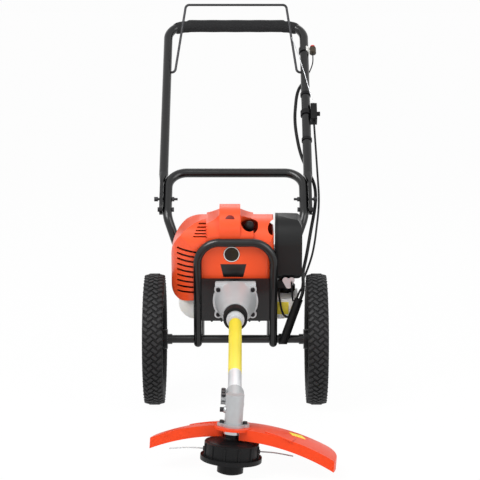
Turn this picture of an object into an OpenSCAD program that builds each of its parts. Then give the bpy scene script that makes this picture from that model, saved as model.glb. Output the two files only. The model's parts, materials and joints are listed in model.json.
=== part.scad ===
// Wheeled string trimmer: a two-stroke engine on a two-wheeled tube frame drives a
// cutting head at the front end of a straight shaft. Millimetres, +Z up, -Y to the front.
// The origin is on the ground, at the middle of the machine's box.

/* [Wheels] */
// Outside diameter of a tyre
wheel_d = 305; // [280:1:330]
// Width of a tyre
tyre_w = 46; // [40:1:52]
// Height of the tyre's section, tread to bead
tyre_h = 44; // [38:1:50]
// Distance between the middles of the two tyres
track = 375; // [360:1:400]
// Number of windows in a wheel disc
wheel_windows = 6; // [4:1:8]
// Diameter of a window in the wheel disc
window_d = 38; // [28:1:42]

/* [Axle] */
// Outside diameter of the axle tube
axle_tube_d = 19; // [17:0.5:22]
// Diameter of the axle rod that the wheels turn on
axle_rod_d = 12; // [10:0.5:13]
// Outside diameter of the collars at the axle tube's ends
collar_d = 24; // [23:0.5:28]

/* [Shaft] */
// Distance from the axle forward to the cutting head
shaft_reach = 650; // [600:1:720]
// Slope of the shaft below the horizontal, in degrees
shaft_angle = 10; // [8:0.5:12]
// Outside diameter of the shaft tube
shaft_d = 28; // [26:0.5:30]
// Wall of the shaft tube
shaft_wall = 2; // [1.5:0.1:3]
// Diameter of the drive shaft inside the tube
drive_d = 8; // [7:0.5:9]
// Angle that the gear case is clamped round the shaft, in degrees
head_roll = 4; // [0:0.5:6]

/* [Cutting head] */
// Diameter of the head's lower flange
head_flange_d = 122; // [114:1:128]
// Diameter of the head's body
head_body_d = 107; // [100:1:110]
// Height of the head's body
head_body_h = 27; // [24:1:32]
// Diameter of the bump knob
knob_d = 52; // [44:1:56]
// Distance from the gears' crossing point down to the bottom of the bump knob
knob_drop = 142; // [138:1:150]
// Travel of the bump knob
knob_travel = 6; // [4:0.5:7]
// Diameter of the cutting line
line_d = 2.7; // [2:0.1:3.3]
// Number of teeth on the pinion
pinion_teeth = 14; // [12:1:15]
// Number of teeth on the crown gear
crown_teeth = 19; // [18:1:22]
// Length of the gears' shared pitch cone
cone_len = 17; // [16:0.5:17.5]

/* [Guard] */
// Radius of the guard's outer edge
guard_r = 188; // [170:1:200]
// Radius of the guard's domed top
guard_dome_r = 430; // [380:1:480]
// Wall of the guard
guard_t = 4; // [3:0.1:5]
// Depth of the guard's rim
guard_rim = 22; // [18:1:26]
// Shift of the guard to the right of the head
guard_shift = 20; // [0:1:25]
// Turn of the guard about the head, in degrees
guard_turn = 11; // [0:1:13]

/* [Frame] */
// Outside diameter of the frame and handle tubes
frame_d = 22; // [20:0.5:24]
// Wall of the frame tubes
frame_wall = 1.2; // [1:0.1:2]
// Distance between the lower frame's feet on the axle
foot_w = 166; // [160:1:170]
// Height of the bend in the lower frame
bend_z = 424; // [410:1:440]
// Distance of the bend behind the axle
bend_y = 140; // [120:1:160]
// Length of the lower frame above its bend
stub_len = 134; // [128:1:145]
// Radius of the tube bends
tube_bend = 45; // [40:1:50]
// Diameter of the front hoop's tube
hoop_d = 19; // [17:0.5:20]
// Distance between the hoop's legs
hoop_w = 174; // [170:1:180]
// Height of the hoop's top above the crankshaft
hoop_top = 137; // [130:1:142]
// Radius of the hoop's bends
hoop_bend = 50; // [40:1:56]
// Thickness of the engine plate
plate_t = 5; // [4:0.5:6]
// Height of the engine plate
plate_h = 102; // [92:1:106]

/* [Handle] */
// Slope of the handle above the horizontal, in degrees
handle_rake = 45; // [40:1:50]
// Distance between the upper handle's legs
handle_w = 350; // [346:1:356]
// Distance from the frame's bend to the grip, along the handle
grip_reach = 631; // [600:1:650]
// Outside diameter of the foam grip
grip_d = 32; // [30:1:36]
// Length of the foam grip
grip_len = 256; // [220:1:258]
// Diameter of the bail's rod
bail_d = 6; // [5:0.5:7]
// Distance from the bail's pivot to the grip, along the handle
bail_back = 164; // [150:1:170]
// Length of the bail
bail_len = 178; // [174:1:184]
// Angle between the released bail and the handle, in degrees
bail_open = 28; // [24:1:32]

/* [Engine] */
// Width of the engine cover
cowl_w = 237; // [225:1:245]
// Distance from the crankshaft to the cover's left side
cowl_left = 149; // [140:1:155]
// Height of the cover above the crankshaft
cowl_h = 177; // [170:1:186]
// Depth of the cover below the crankshaft
cowl_drop = 7; // [4:1:10]
// Length of the cover along the crankshaft
cowl_len = 112; // [110:1:118]
// Wall of the cover
cowl_t = 3; // [2:0.1:4]
// Number of long louvres on the cover's side
louvres = 9; // [6:1:9]
// Diameter of the crankcase
crankcase_d = 80; // [76:1:84]
// Outside diameter of the cylinder's barrel
barrel_d = 56; // [50:1:60]
// Number of cooling fins
fins = 11; // [9:1:12]
// Diameter of the crankshaft
crank_d = 16; // [14:0.5:18]
// Diameter of the flywheel
flywheel_d = 80; // [74:1:82]
// Diameter of the clutch housing's flange
clutch_d = 104; // [100:1:108]
// Length of the clutch housing's cone
bell_len = 96; // [90:1:104]
// Diameter of the rubber ring at the clutch housing's nose
damper_d = 54; // [50:1:56]
// Diameter of the starter cover
starter_d = 132; // [124:1:136]
// Width of the fuel tank
tank_w = 276; // [264:1:284]
// Distance from the crankshaft to the tank's left side
tank_left = 131; // [126:1:136]
// Depth of the tank below the crankshaft
tank_drop = 54; // [50:1:58]
// Thickness of the air filter box from the engine outwards
filter_w = 61; // [56:1:64]
// Height of the air filter box
filter_h = 142; // [134:1:146]

/* [Fits] */
// Gap on the radius between a turning piece and its bearing
running_fit = 0.06; // [0.03:0.01:0.1]
// Gap between pieces that pass close by each other
clearance = 0.4; // [0.3:0.1:0.8]

/* [Hidden] */
$fn = 96;
over = 1;
bend_lap = 0.5;
bend_swell = 0.1;
hull_sides = 32;

// Places on the ground frame
axle_z = wheel_d / 2;
head_tilt_cos = pow(sin(shaft_angle), 2) + pow(cos(shaft_angle), 2) * cos(head_roll);
knob_dome_r = 60;
apex_z = (knob_drop - knob_dome_r) * head_tilt_cos + knob_dome_r;
front_y = -shaft_reach - head_flange_d / 2;
back_y = bend_y + grip_reach * cos(handle_rake) + grip_d / 2;
axle_y = -(front_y + back_y) / 2;

// Places along the shaft, measured back from the gears' crossing point
axle_rise = axle_z - apex_z;
axle_s = shaft_reach * cos(shaft_angle) + axle_rise * sin(shaft_angle);
axle_lift = axle_rise * cos(shaft_angle) - shaft_reach * sin(shaft_angle);
weld_bite = 3;
knee_out = 2;
knee_y = 105;
knee_rise = 48;
hoop_s = axle_s - axle_tube_d / 2 - hoop_d / 2 + weld_bite;
engine_s = hoop_s + plate_t / 2;
flange_s = hoop_s - plate_t / 2;
flange_t = 9;
nose_len = 32;
nose_s = flange_s - flange_t - bell_len - nose_len;
tube_start = 28;
tube_grip = 42;
tube_end = nose_s + tube_grip;

// Wheel details
hub_d = 46;
hub_in = 30;
hub_out = 12;
bush_d = 20;
bush_len = 16;
web_t = 6;
rim_t = 4;
rim_w = 36;
shoulder_r = 14;
groove_w = 2.5;
groove_depth = 3;
groove_shares = [-0.3, 0, 0.3];
washer_t = 1.6;
nut_h = 7;
nut_af = 19;
collar_len = 10;
axle_half = track / 2 - hub_in - clearance;
bead_r = wheel_d / 2 - tyre_h;

// Frame and handle details
bolt_d = 6;
bolt_fit = 0.2;
bolt_nut_d = 11;
bolt_nut_h = 5;
bolt_tail = 8;
knob_bolt_neck = 4;
knob_bolt_head = 9;
cap_head_h = 4;
bolt_places = [20, 52];
flat_t = 8;
flat_w = 30;
flat_gap = 0.2;
flat_start = 8;
flat_end = 100;
flat_blend = 30;
flat_step = 11.5;
frame_w = handle_w - 2 * flat_step;
flat_x = frame_w / 2 + frame_d / 2 + flat_gap;
hole_d = 70;
clutch_bolt_x = 39.5;
clutch_bolt_z = 30;
clutch_bolt_d = 6;
clutch_head_d = 10;
clutch_head_h = 6;
grip_bore_fit = 0.05;
bail_pivot_y = grip_reach - bail_back;
bail_bite = 2;
bail_room = 9;
bail_pin_x = handle_w / 2 - frame_d / 2 + frame_wall + bail_bite;
bail_side_x = handle_w / 2 - frame_d / 2 - bail_room;
bail_top_x = 128;
bail_bend = 10;

// Controls on the right leg of the handle
box_back = 331;
box_y = grip_reach - box_back;
box_len = 52;
box_w = 16;
box_depth = 28;
box_corner = 4;
box_x = handle_w / 2 + frame_d / 2;
box_knob_d = 11;
box_knob_h = 8;
spout_d = 7;
spout_h = 8;
switch_back = 97;
switch_y = grip_reach - switch_back;
switch_d = 17;
switch_h = 17;
switch_gap = 2.5;
switch_x = handle_w / 2 + frame_d / 2 + switch_gap + switch_d / 2;
switch_band = 14;
switch_wall = 3;
button_d = 13;
button_h = 9;
button_travel = 3;
wire_d = 1.6;

// Cutting head details, measured from the gears' crossing point along the head's axis
case_r = 18;
case_top = 20;
case_drop = 38;
case_wall = 3;
case_floor_r = 7.5;
foot_t = 6;
foot_reach = 32;
foot_r = 9;
spacer_d = 38;
spacer_h = 14;
boss_d = 30;
output_d = 10;
collar_clamp_d = 37;
collar_clamp_len = 58;
ear_w = 12;
ear_h = 14;
ear_len = 46;
slit_w = 2.5;
head_depth = 66;
head_top = knob_drop - head_depth;
head_flange_h = 9;
head_wall = 3;
head_floor = head_top + head_body_h + head_flange_h;
eyelet_d = 9;
eyelet_out = 3;
head_ribs = 12;
spool_d = 84;
spool_h = 14;
stem_d = 24;

// Bevel gears
gear_cross = 90 - shaft_angle;
gear_ratio = crown_teeth / pinion_teeth;
pinion_cone = atan2(sin(gear_cross), gear_ratio + cos(gear_cross));
crown_cone = gear_cross - pinion_cone;
tooth_tip = 2.2;
tooth_root = 3.4;
tooth_half_share = 0.19;
tooth_tip_share = 0.11;
tooth_face_share = 0.36;
pinion_back = cone_len * cos(pinion_cone);
crown_back = cone_len * cos(crown_cone);
pinion_face = cone_len * tooth_face_share * cos(pinion_cone);
crown_face = cone_len * tooth_face_share * cos(crown_cone);
pinion_front = pinion_back - pinion_face;

// Engine details, measured from the back of the engine plate and from the crankshaft
cowl_gap = hoop_d / 2 - plate_t / 2 + over;
cowl_round_tl = 88;
cowl_round_bl = 28;
cowl_tip = 4;
cowl_back = 32;
cowl_round_br = 16;
cowl_nose = 58;
cowl_corner = 52;
cowl_corner_small = 18;
tongue_w = 48;
tongue_x = -13;
tongue_h = 30;
shoulder_w = 30;
shoulder_h = 17;
shoulder_sweep = 70;
notch_r = 14;
notch_z = 161.5;
louvre_h = 5;
louvre_pitch = 12.5;
louvre_w = 46;
louvre_slope = 12;
vent_w = 33;
vent_h = 3;
vent_pitch = 6;
vent_taper_share = 0.09;
vents = 5;
boot_hole_w = 39;
boot_hole_len = 48;
boot_x = 32;
boot_slope = 57;
case_front = 36;
case_len = 64;
case_neck_w = 70;
case_neck_h = 48;
cyl_y = 68;
fin_w = 84;
fin_len = 60;
fin_t = 2.5;
fin_corner = 12;
cyl_top = 140;
plug_d = 14;
plug_len = 26;
boot_d = 22;
boot_len = 18;
boot_lean = 50;
boot_turn = 20;
muffler_w = 72;
muffler_len = 56;
muffler_h = 96;
muffler_x = -124;
muffler_z = 24;
muffler_corner = 14;
muffler_t = 1.5;
port_d = 26;
carb_len = 40;
carb_h = 44;
carb_z = 62;
filter_len = 80;
filter_y = 18;
filter_z = 40;
filter_corner = 16;
filter_base_t = 6;
filter_wall = 2.5;
filter_x = 92;
filter_slope = 8;
filter_brow = 60;
tank_len = 80;
tank_y = 18;
tank_t = 3;
tank_corner = 40;
tank_gap = 3;
neck_d = 34;
cap_d = 42;
cap_h = 16;
cap_x = 117;
cap_y = 84;
fuel_line_d = 5;
bell_nose_d = 58;
bell_t = 4;
shoe_d = 54;
shoe_len = 16;
shoe_gap = 4;
drum_d = 64;
drum_t = 2.5;
drum_len = 26;
starter_len = 44;
starter_t = 3;
starter_slots = 10;
rope_x = -46;
rope_d = 4;
grip_w = 52;
grip_bar_d = 16;
grip_seat = 20;
blade_count = 16;
blade_t = 3;
lever_t = 2.5;
lever_pin_d = 5;
lever_x = 122;
lever_y = 11.5;
lever_z = 29;
lever_r = 7;
lever_arm = 15;

// Cable routes. Upper ones are beside the handle's right leg, in its own directions from the frame's bend;
// lead_shares are parts of the way from the bend up to the stop switch. Lower ones have the axle at zero.
cable_d = 5;
lead_d = 8;
conduit_d = 20;
conduit_bore = 16;
conduit_deep = 10;
cable_bend = 18;
throttle_upper = [[26, 40, -2], [11, -69, -43], [-5, -116, -59]];
throttle_lower = [[158, 70, 280], [155, 20, 268], [147.9, -22.4, 269.5], [139.6, -22, 247]];
throttle_tail = [[132.3, -22, 246], [130, -30, 262], [129, -28.8, 290]];
lead_seat = 1.2;
lead_shares = [0.936, 0.852, 0.768, 0.562, 0.384, 0.3, 0.206, 0.094];
lead_sides = [22, 0, -21, -30, -18, 0, 18, 18];
lead_lifts = [-8, -19, -8, 0, -8, -19, -17, -17];
lead_upper = [[5, -16, -30], [-7, -86, -47]];
lead_lower = [[158, 80, 296], [158, 30, 284], [155.9, -22.4, 266.6], [147.5, -22, 244.1]];
lead_tail = [[120, -21, 207], [108, -22, 214], [100, -20, 258], [100, -10, 272]];
conduit_route = [[146, -22, 250], [110, -20, 148]];
clip_shares = [0.372, 0.61];
clip_w = 8;
clip_t = 2;

// Smaller details of the pieces above
seat = 0.3;
grip_round = 6;
hoop_foot = 4;
plate_corner = 6;
tab_d = 5;
tab_shares = [-0.34, -0.2, 0.2, 0.34];
tail_share = 0.6;
wire_share = 0.5;
wire_bow = 6;
conduit_wall = 3;
pad_t = 8;
chamber_d = 58;
pad_r = 7;
shoe_end = -46;
shaft_tail = 16;
fly_y = 13;
fly_t = 6;
fly_h = 20;
plug_x = 22;
plug_seat = 6;
plug_hex = 6;
plug_rim = 3;
muffler_y = 38;
port_z = 84;
tongue_round = 44;
louvre_x = -112;
louvre_low = 14;
vent_right = -64;
vent_low = 146;
carb_room = 8;
intake_d = 24;
filter_round = 28;
lever_lug = 8;
lever_turns = [62, 118];
lug_back = 40;
starter_gap = 2;
neck_h = 10;
cap_ribs = 14;
cap_rib_d = 3;
fuel_x = 72;
fuel_y = 40;
rope_inset = 12;
rope_boss_d = 18;
rope_rise = 58;
slot_ring_share = 0.3;
slot_long_share = 0.2;
flange_flat_share = 0.88;
ledge_h = 14;
ledge_share = 0.9;
sleeve_d = 40;
bolt_boss = 6;
web_len = 14;
drum_hub_d = 20;
drum_hub_len = 34;
drum_gap = 4;
damper_back = 6;
bush_shares = [0.02, 0.34, 0.67, 1];
pinion_hub_d = 17;
pinion_room_r = 12;
pinion_phase = 270 - 360 * (round(3 * pinion_teeth / 4 - 1 / 2) + 1 / 2) / pinion_teeth;
crown_phase = 90 - 360 * round(crown_teeth / 4) / crown_teeth;
clamp_bolt_d = 5;
clamp_head_d = 9;
clamp_shares = [0.2, 0.5, 0.8];
guard_pad = 5;
guard_ahead = 18;
guard_dip = 0.8;
guard_behind = 10;
dome_sides = 128;
line_drop = 92;
line_sides = 8;
line_route = [
    [0, 0, 0], [12, 0, 0], [30, 2, -1], [50, 5, -4], [70, 10, -8], [88, 16, -12], [104, 23, -15]
];
head_plate = 4;
head_rib_d = 5;
spool_rim = 3;

// Shared shapes

function unit(v) = v / norm(v);
function turn_at(p, i) = let (a = unit(p[i] - p[i - 1]), b = unit(p[i + 1] - p[i]))
    acos(min(1, max(-1, a * b)));
function trim_at(p, i, bend) =
    (i == 0 || i == len(p) - 1) ? 0 : bend * tan(turn_at(p, i) / 2);

module placed() { translate([0, axle_y, 0]) children(); }

module shaft_frame() {
    translate([0, -shaft_reach, apex_z]) rotate([shaft_angle, 0, 0]) children();
}

module head_frame() {
    shaft_frame() rotate([0, head_roll, 0]) rotate([-shaft_angle, 0, 0]) children();
}

module engine_frame() { shaft_frame() translate([0, engine_s, 0]) children(); }

module handle_frame() {
    translate([0, bend_y, bend_z]) rotate([handle_rake, 0, 0]) children();
}

// A point beside the right leg of the handle, in the handle's own directions
function on_handle(p) = [
    handle_w / 2 + p[0],
    bend_y + p[1] * cos(handle_rake) - p[2] * sin(handle_rake),
    bend_z + p[1] * sin(handle_rake) + p[2] * cos(handle_rake)
];

module bail_frame() {
    handle_frame() translate([0, bail_pivot_y, 0]) rotate([bail_open, 0, 0]) children();
}

// A round bar along X, Y or Z between two places
module bar_x(d, from, to) { translate([from, 0, 0]) rotate([0, 90, 0]) cylinder(d = d, h = to - from); }
module bar_y(d, from, to) { translate([0, from, 0]) rotate([-90, 0, 0]) cylinder(d = d, h = to - from); }
module bar_z(d, from, to) { translate([0, 0, from]) cylinder(d = d, h = to - from); }

// Turns an outline in X and Z into a solid along Y
module slab_y(from, to) {
    translate([0, to, 0]) rotate([90, 0, 0]) linear_extrude(to - from) children();
}

// Turns an outline in Y and Z into a solid along X
module slab_x(from, to) {
    translate([from, 0, 0]) rotate([90, 0, 90]) linear_extrude(to - from) children();
}

// Turns its children from the Z axis to the direction v
module aim(v) {
    rotate([0, acos(v[2] / norm(v)), atan2(v[1], v[0])]) children();
}

module ring(d, wall) {
    difference() {
        circle(d = d);
        if (wall < d / 2) circle(d = d - 2 * wall);
    }
}

// A tube along straight runs with a round bend at each inner point: each piece stands on the one before it,
// and each bend is a sleeve that takes in the ends of its two straights
module tube_run(p, bend, d, wall) {
    way = p[1] - p[0];
    tilt = acos(way[2] / norm(way));
    turn = atan2(way[1], way[0]);
    side = [cos(tilt) * cos(turn), cos(tilt) * sin(turn), -sin(tilt)];
    translate(p[0]) aim(way) tube_rest(p, 0, side, bend, d, wall);
}

module tube_rest(p, i, side, bend, d, wall) {
    last = i == len(p) - 2;
    a = unit(p[i + 1] - p[i]);
    run = norm(p[i + 1] - p[i]) - trim_at(p, i, bend) - trim_at(p, i + 1, bend);
    translate([0, 0, i == 0 ? 0 : -bend_lap])
        linear_extrude(run + (i == 0 ? 0 : bend_lap) + (last ? 0 : bend_lap)) ring(d, wall);
    if (!last) {
        b = unit(p[i + 2] - p[i + 1]);
        inward = unit(b - a * (a * b));
        roll = atan2(cross(side, inward) * a, side * inward);
        turn = turn_at(p, i + 1);
        translate([0, 0, run]) rotate(roll) translate([bend, 0, 0]) {
            rotate([90, 0, 180]) rotate_extrude(angle = turn) translate([bend, 0])
                ring(d + 2 * bend_swell, wall + 2 * bend_swell);
            rotate([0, turn, 0]) translate([-bend, 0, 0])
                tube_rest(p, i + 1, inward * cos(turn) - a * sin(turn), bend, d, wall);
        }
    }
}

// A rectangle with its own radius at each corner: lower left, lower right, upper right, upper left
module soft_rect(low, high, r) {
    corner = [[low[0] + r[0], low[1] + r[0]], [high[0] - r[1], low[1] + r[1]],
              [high[0] - r[2], high[1] - r[2]], [low[0] + r[3], high[1] - r[3]]];
    for (i = [0 : 3]) translate(corner[i]) circle(r = r[i]);
    polygon([
        [low[0], corner[0][1]], [corner[0][0], low[1]], [corner[1][0], low[1]], [high[0], corner[1][1]],
        [high[0], corner[2][1]], [corner[2][0], high[1]], [corner[3][0], high[1]], [low[0], corner[3][1]]
    ]);
}

module round_rect(w, h, r) { soft_rect([-w / 2, -h / 2], [w / 2, h / 2], [r, r, r, r]); }

// A rounded slot along X
module slot(w, h) {
    square([w - h, h], center = true);
    for (side = [-1, 1]) translate([side * (w - h) / 2, 0]) circle(d = h);
}

// A tube swept along a curve through a list of points, as flat faces
function ring_at(p, i, d, sides) = let (
        t = unit(p[min(i + 1, len(p) - 1)] - p[max(i - 1, 0)]),
        u = unit(cross(t, [0, 0, 1])),
        w = cross(t, u)
    ) [for (k = [0 : sides - 1]) p[i] + d / 2 * (u * cos(360 * k / sides) + w * sin(360 * k / sides))];

module swept(p, d, sides) {
    n = len(p);
    polyhedron(
        [for (i = [0 : n - 1]) each ring_at(p, i, d, sides)],
        concat(
            [[for (k = [0 : sides - 1]) k]],
            [for (i = [0 : n - 2], k = [0 : sides - 1]) let (m = (k + 1) % sides)
                [i * sides + k, (i + 1) * sides + k, (i + 1) * sides + m, i * sides + m]],
            [[for (k = [sides - 1 : -1 : 0]) (n - 1) * sides + k]]
        )
    );
}

// Axle and wheels

module axle_tube() {
    color("black") translate([0, 0, axle_z]) difference() {
        union() {
            bar_x(axle_tube_d, -axle_half, axle_half);
            for (side = [-1, 1]) scale_x(side) bar_x(collar_d, axle_half - collar_len, axle_half);
        }
        bar_x(axle_rod_d + 2 * running_fit, -track, track);
    }
}

// Mirrors its children to the left side when side is -1
module scale_x(side) { mirror([side < 0 ? 1 : 0, 0, 0]) children(); }

module axle_rod() {
    end = track / 2 + hub_out + washer_t + nut_h;
    color("silver") translate([0, 0, axle_z]) bar_x(axle_rod_d, -end, end);
}

module wheel_nuts() {
    start = track / 2 + hub_out + clearance;
    color("silver") translate([0, 0, axle_z]) for (side = [-1, 1]) scale_x(side) difference() {
        union() {
            bar_x(bush_d + washer_t, start, start + washer_t);
            translate([start, 0, 0]) rotate([0, 90, 0])
                cylinder(d = nut_af, h = washer_t + nut_h - 2 * clearance, $fn = 6);
        }
        bar_x(axle_rod_d, 0, track);
    }
}

module tyre() {
    color("dimgray") translate([track / 2, 0, axle_z]) rotate([0, 90, 0]) rotate_extrude() difference() {
        translate([wheel_d / 2 - tyre_h / 2, 0]) round_rect(tyre_h, tyre_w, shoulder_r);
        for (share = groove_shares)
            translate([wheel_d / 2, share * tyre_w]) square([2 * groove_depth, groove_w], center = true);
    }
}

module rim() {
    ring_r = (bead_r + hub_d / 2) / 2;
    color("black") translate([track / 2, 0, axle_z]) rotate([0, 90, 0]) difference() {
        rotate_extrude() {
            translate([bead_r - rim_t, -rim_w / 2]) square([rim_t, rim_w]);
            translate([bush_d / 2, -web_t / 2]) square([bead_r - bush_d / 2, web_t]);
            translate([bush_d / 2, -hub_in]) square([(hub_d - bush_d) / 2, hub_in + hub_out]);
        }
        for (i = [0 : wheel_windows - 1]) rotate(360 * i / wheel_windows)
            translate([ring_r, 0, -web_t]) cylinder(d = window_d, h = 2 * web_t);
    }
}

module bushes() {
    color("lightgray") translate([track / 2, 0, axle_z]) difference() {
        union() {
            bar_x(bush_d, -hub_in, bush_len - hub_in);
            bar_x(bush_d, hub_out - bush_len, hub_out);
        }
        bar_x(axle_rod_d + 2 * running_fit, -track, track);
    }
}

module left_tyre() { scale_x(-1) tyre(); }
module left_rim() { scale_x(-1) rim(); }
module left_bushes() { scale_x(-1) bushes(); }
module right_tyre() { tyre(); }
module right_rim() { rim(); }
module right_bushes() { bushes(); }

// Tube frame

module axle_space() { translate([0, 0, axle_z]) bar_x(axle_tube_d, -axle_half, axle_half); }

module hoop_leg_space(d) {
    for (side = [-1, 1]) shaft_frame() translate([side * hoop_w / 2, hoop_s, 0])
        bar_z(d, axle_lift - hoop_d, hoop_top - hoop_bend);
}

module front_hoop() {
    low = axle_lift - hoop_foot;
    half = hoop_w / 2;
    color("black") difference() {
        shaft_frame() {
            tube_run([[-half, hoop_s, low], [-half, hoop_s, hoop_top],
                      [half, hoop_s, hoop_top], [half, hoop_s, low]], hoop_bend, hoop_d, frame_wall);
            for (side = [-1, 1]) translate([side * half, hoop_s, low]) rotate_extrude() intersection() {
                circle(d = hoop_d);
                translate([0, -hoop_d]) square(hoop_d);
            }
        }
        axle_space();
    }
}

module engine_plate() {
    wide = hoop_w - hoop_d + 2 * weld_bite;
    color("black") difference() {
        engine_frame() difference() {
            slab_y(-plate_t, 0) difference() {
                union() {
                    round_rect(wide, plate_h, plate_corner);
                    for (share = tab_shares)
                        translate([share * wide, -plate_h / 2]) circle(d = tab_d);
                }
                circle(d = hole_d);
            }
            clutch_bolt_places() bar_y(clutch_bolt_d, -2 * plate_t, plate_t);
        }
        hoop_leg_space(hoop_d);
    }
}

module lower_frame() {
    axle = [foot_w / 2, 0, axle_z];
    knee = [foot_w / 2 + knee_out, knee_y, axle_z + knee_rise];
    foot = axle + unit(knee - axle) * (axle_tube_d / 2 - weld_bite);
    bend = [frame_w / 2, bend_y, bend_z];
    top = bend + stub_len * [0, cos(handle_rake), sin(handle_rake)];
    function left(v) = [-v[0], v[1], v[2]];
    color("black") difference() {
        tube_run([left(foot), left(knee), left(bend), left(top), top, bend, knee, foot],
            tube_bend, frame_d, frame_wall);
        axle_space();
        handle_frame() handle_bolt_holes();
    }
}

module handle_bolt_holes() {
    for (place = bolt_places) translate([0, place, 0])
        bar_x(bolt_d + 2 * bolt_fit, -handle_w, handle_w);
}

module upper_handle() {
    half = handle_w / 2;
    start = flat_end + flat_blend;
    low = start - 2 * over;
    color("black") handle_frame() difference() {
        union() {
            tube_run([[-half, low, 0], [-half, grip_reach, 0], [half, grip_reach, 0], [half, low, 0]],
                tube_bend, frame_d, frame_wall);
            for (side = [-1, 1]) scale_x(side) flat_end_piece(start);
        }
        handle_bolt_holes();
        translate([0, bail_pivot_y, 0])
            bar_x(bail_d + 2 * running_fit, -bail_pin_x - over, bail_pin_x + over);
    }
}

// The pressed flat end of a handle leg and the taper into the round tube
module flat_end_piece(start) {
    translate([flat_x, flat_start, 0]) {
        translate([0, flat_w / 2, -flat_w / 2]) cube([flat_t, flat_end - flat_start - flat_w / 2, flat_w]);
        translate([0, flat_w / 2, 0]) bar_x(flat_w, 0, flat_t);
    }
    hull() {
        translate([flat_x, flat_end - seat, -flat_w / 2]) cube([flat_t, seat, flat_w]);
        translate([handle_w / 2, 0, 0]) bar_y(frame_d + 2 * seat, start - seat, start, $fn = hull_sides);
    }
}

module handle_bolts() {
    inner = frame_w / 2 - frame_d / 2 - bolt_nut_h - bolt_tail;
    outer = flat_x + flat_t;
    color("dimgray") handle_frame() for (side = [-1, 1]) scale_x(side) {
        translate([0, bolt_places[0], 0]) {
            bar_x(bolt_d, inner + bolt_tail, outer);
            bar_x(bolt_nut_d, outer, outer + cap_head_h);
        }
        translate([0, bolt_places[1], 0]) {
            bar_x(bolt_d, inner, outer + knob_bolt_neck);
            bar_x(bolt_nut_d, outer + knob_bolt_neck, outer + knob_bolt_neck + knob_bolt_head);
        }
    }
}

module handle_nuts() {
    face = frame_w / 2 - frame_d / 2;
    color("dimgray") handle_frame() for (side = [-1, 1], place = bolt_places) scale_x(side)
        translate([face - bolt_nut_h, place, 0]) rotate([0, 90, 0]) difference() {
            cylinder(d = bolt_nut_d, h = bolt_nut_h, $fn = 6);
            translate([0, 0, -over]) cylinder(d = bolt_d, h = bolt_nut_h + 2 * over);
        }
}

module foam_grip() {
    color("#222222") handle_frame() translate([0, grip_reach, 0]) difference() {
        rotate([0, 90, 0]) rotate_extrude() difference() {
            round_rect(grip_d, grip_len, grip_round);
            translate([-grip_d, -grip_len / 2]) square([grip_d, grip_len]);
        }
        bar_x(frame_d + 2 * grip_bore_fit, -grip_len, grip_len);
    }
}

module bail() {
    color("dimgray") bail_frame()
        tube_run([[-bail_pin_x, 0, 0], [-bail_side_x, 0, 0], [-bail_top_x, bail_len, 0],
                  [bail_top_x, bail_len, 0], [bail_side_x, 0, 0], [bail_pin_x, 0, 0]],
            bail_bend, bail_d, bail_d);
}

// Handle controls and cables

module cable_box() {
    color("#1a1a1a") handle_frame() difference() {
        union() {
            translate([box_x, box_y, 0]) {
                slab_x(clearance, box_w) translate([box_len / 2, 0])
                    round_rect(box_len, box_depth, box_corner);
                translate([box_w / 2, 0, 0]) bar_y(spout_d, box_len - over, box_len + spout_h);
                translate([0, box_len / 2, 0]) bar_x(box_knob_d, box_w - over, box_w + box_knob_h);
            }
            translate([handle_w / 2, box_y + box_len / 2 - switch_band / 2, 0])
                bar_y(frame_d + 2 * switch_wall, 0, switch_band);
        }
        translate([handle_w / 2, 0, 0]) bar_y(frame_d, 0, grip_reach);
        translate([box_x + box_w / 2, 0, 0]) bar_y(wire_d + 2 * clearance, box_y + box_len / 2, grip_reach);
    }
}

module stop_switch() {
    color("whitesmoke") handle_frame() difference() {
        union() {
            translate([handle_w / 2, switch_y, 0]) bar_y(frame_d + 2 * switch_wall, 0, switch_band);
            translate([switch_x, switch_y, 0]) bar_y(switch_d, 0, switch_h);
        }
        translate([handle_w / 2, 0, 0]) bar_y(frame_d, 0, grip_reach);
        translate([switch_x, switch_y, 0])
            bar_y(button_d - 2 * switch_wall + 2 * running_fit, switch_h - button_h, switch_h + over);
    }
}

module stop_button() {
    stem = button_d - 2 * switch_wall;
    color("firebrick") handle_frame() translate([switch_x, switch_y + switch_h, 0]) {
        bar_y(stem, button_travel + clearance - button_h, button_travel + over);
        rotate([-90, 0, 0]) rotate_extrude() intersection() {
            translate([0, button_travel + clearance]) soft_rect([-button_d / 2, -button_h],
                [button_d / 2, button_h - button_travel], [over, over, button_h / 2, button_h / 2]);
            translate([0, button_travel + clearance]) square([button_d, button_h]);
        }
    }
}

module throttle_cable() {
    start = [box_x + box_w / 2 - handle_w / 2, box_y - bend_lap, 0];
    color("#151515") {
        tube_run(concat([for (p = concat([start], throttle_upper)) on_handle(p)], throttle_lower),
            cable_bend, cable_d, cable_d);
        tube_run(throttle_tail, cable_bend, cable_d * tail_share, cable_d);
    }
}

module throttle_wire() {
    side = bail_side_x - (bail_side_x - bail_top_x) * wire_share;
    reach = bail_len * wire_share;
    start = [side, bail_pivot_y + reach * cos(bail_open), reach * sin(bail_open) + bail_d];
    end = [box_x + box_w / 2, box_y + box_len + spout_h - over, 0];
    middle = (start + end) / 2 + [0, 0, wire_bow];
    color("silver") handle_frame() tube_run([start, middle, end], cable_bend, wire_d, wire_d);
}

module stop_lead() {
    start = [switch_x - handle_w / 2, switch_y - lead_seat, 0];
    beside = [for (i = [0 : len(lead_shares) - 1]) [lead_sides[i], lead_shares[i] * switch_y, lead_lifts[i]]];
    color("#151515") {
        tube_run(concat([for (p = concat([start], beside, lead_upper)) on_handle(p)], lead_lower),
            cable_bend, lead_d, lead_d);
        tube_run(lead_tail, cable_bend, cable_d, cable_d);
    }
}

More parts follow.
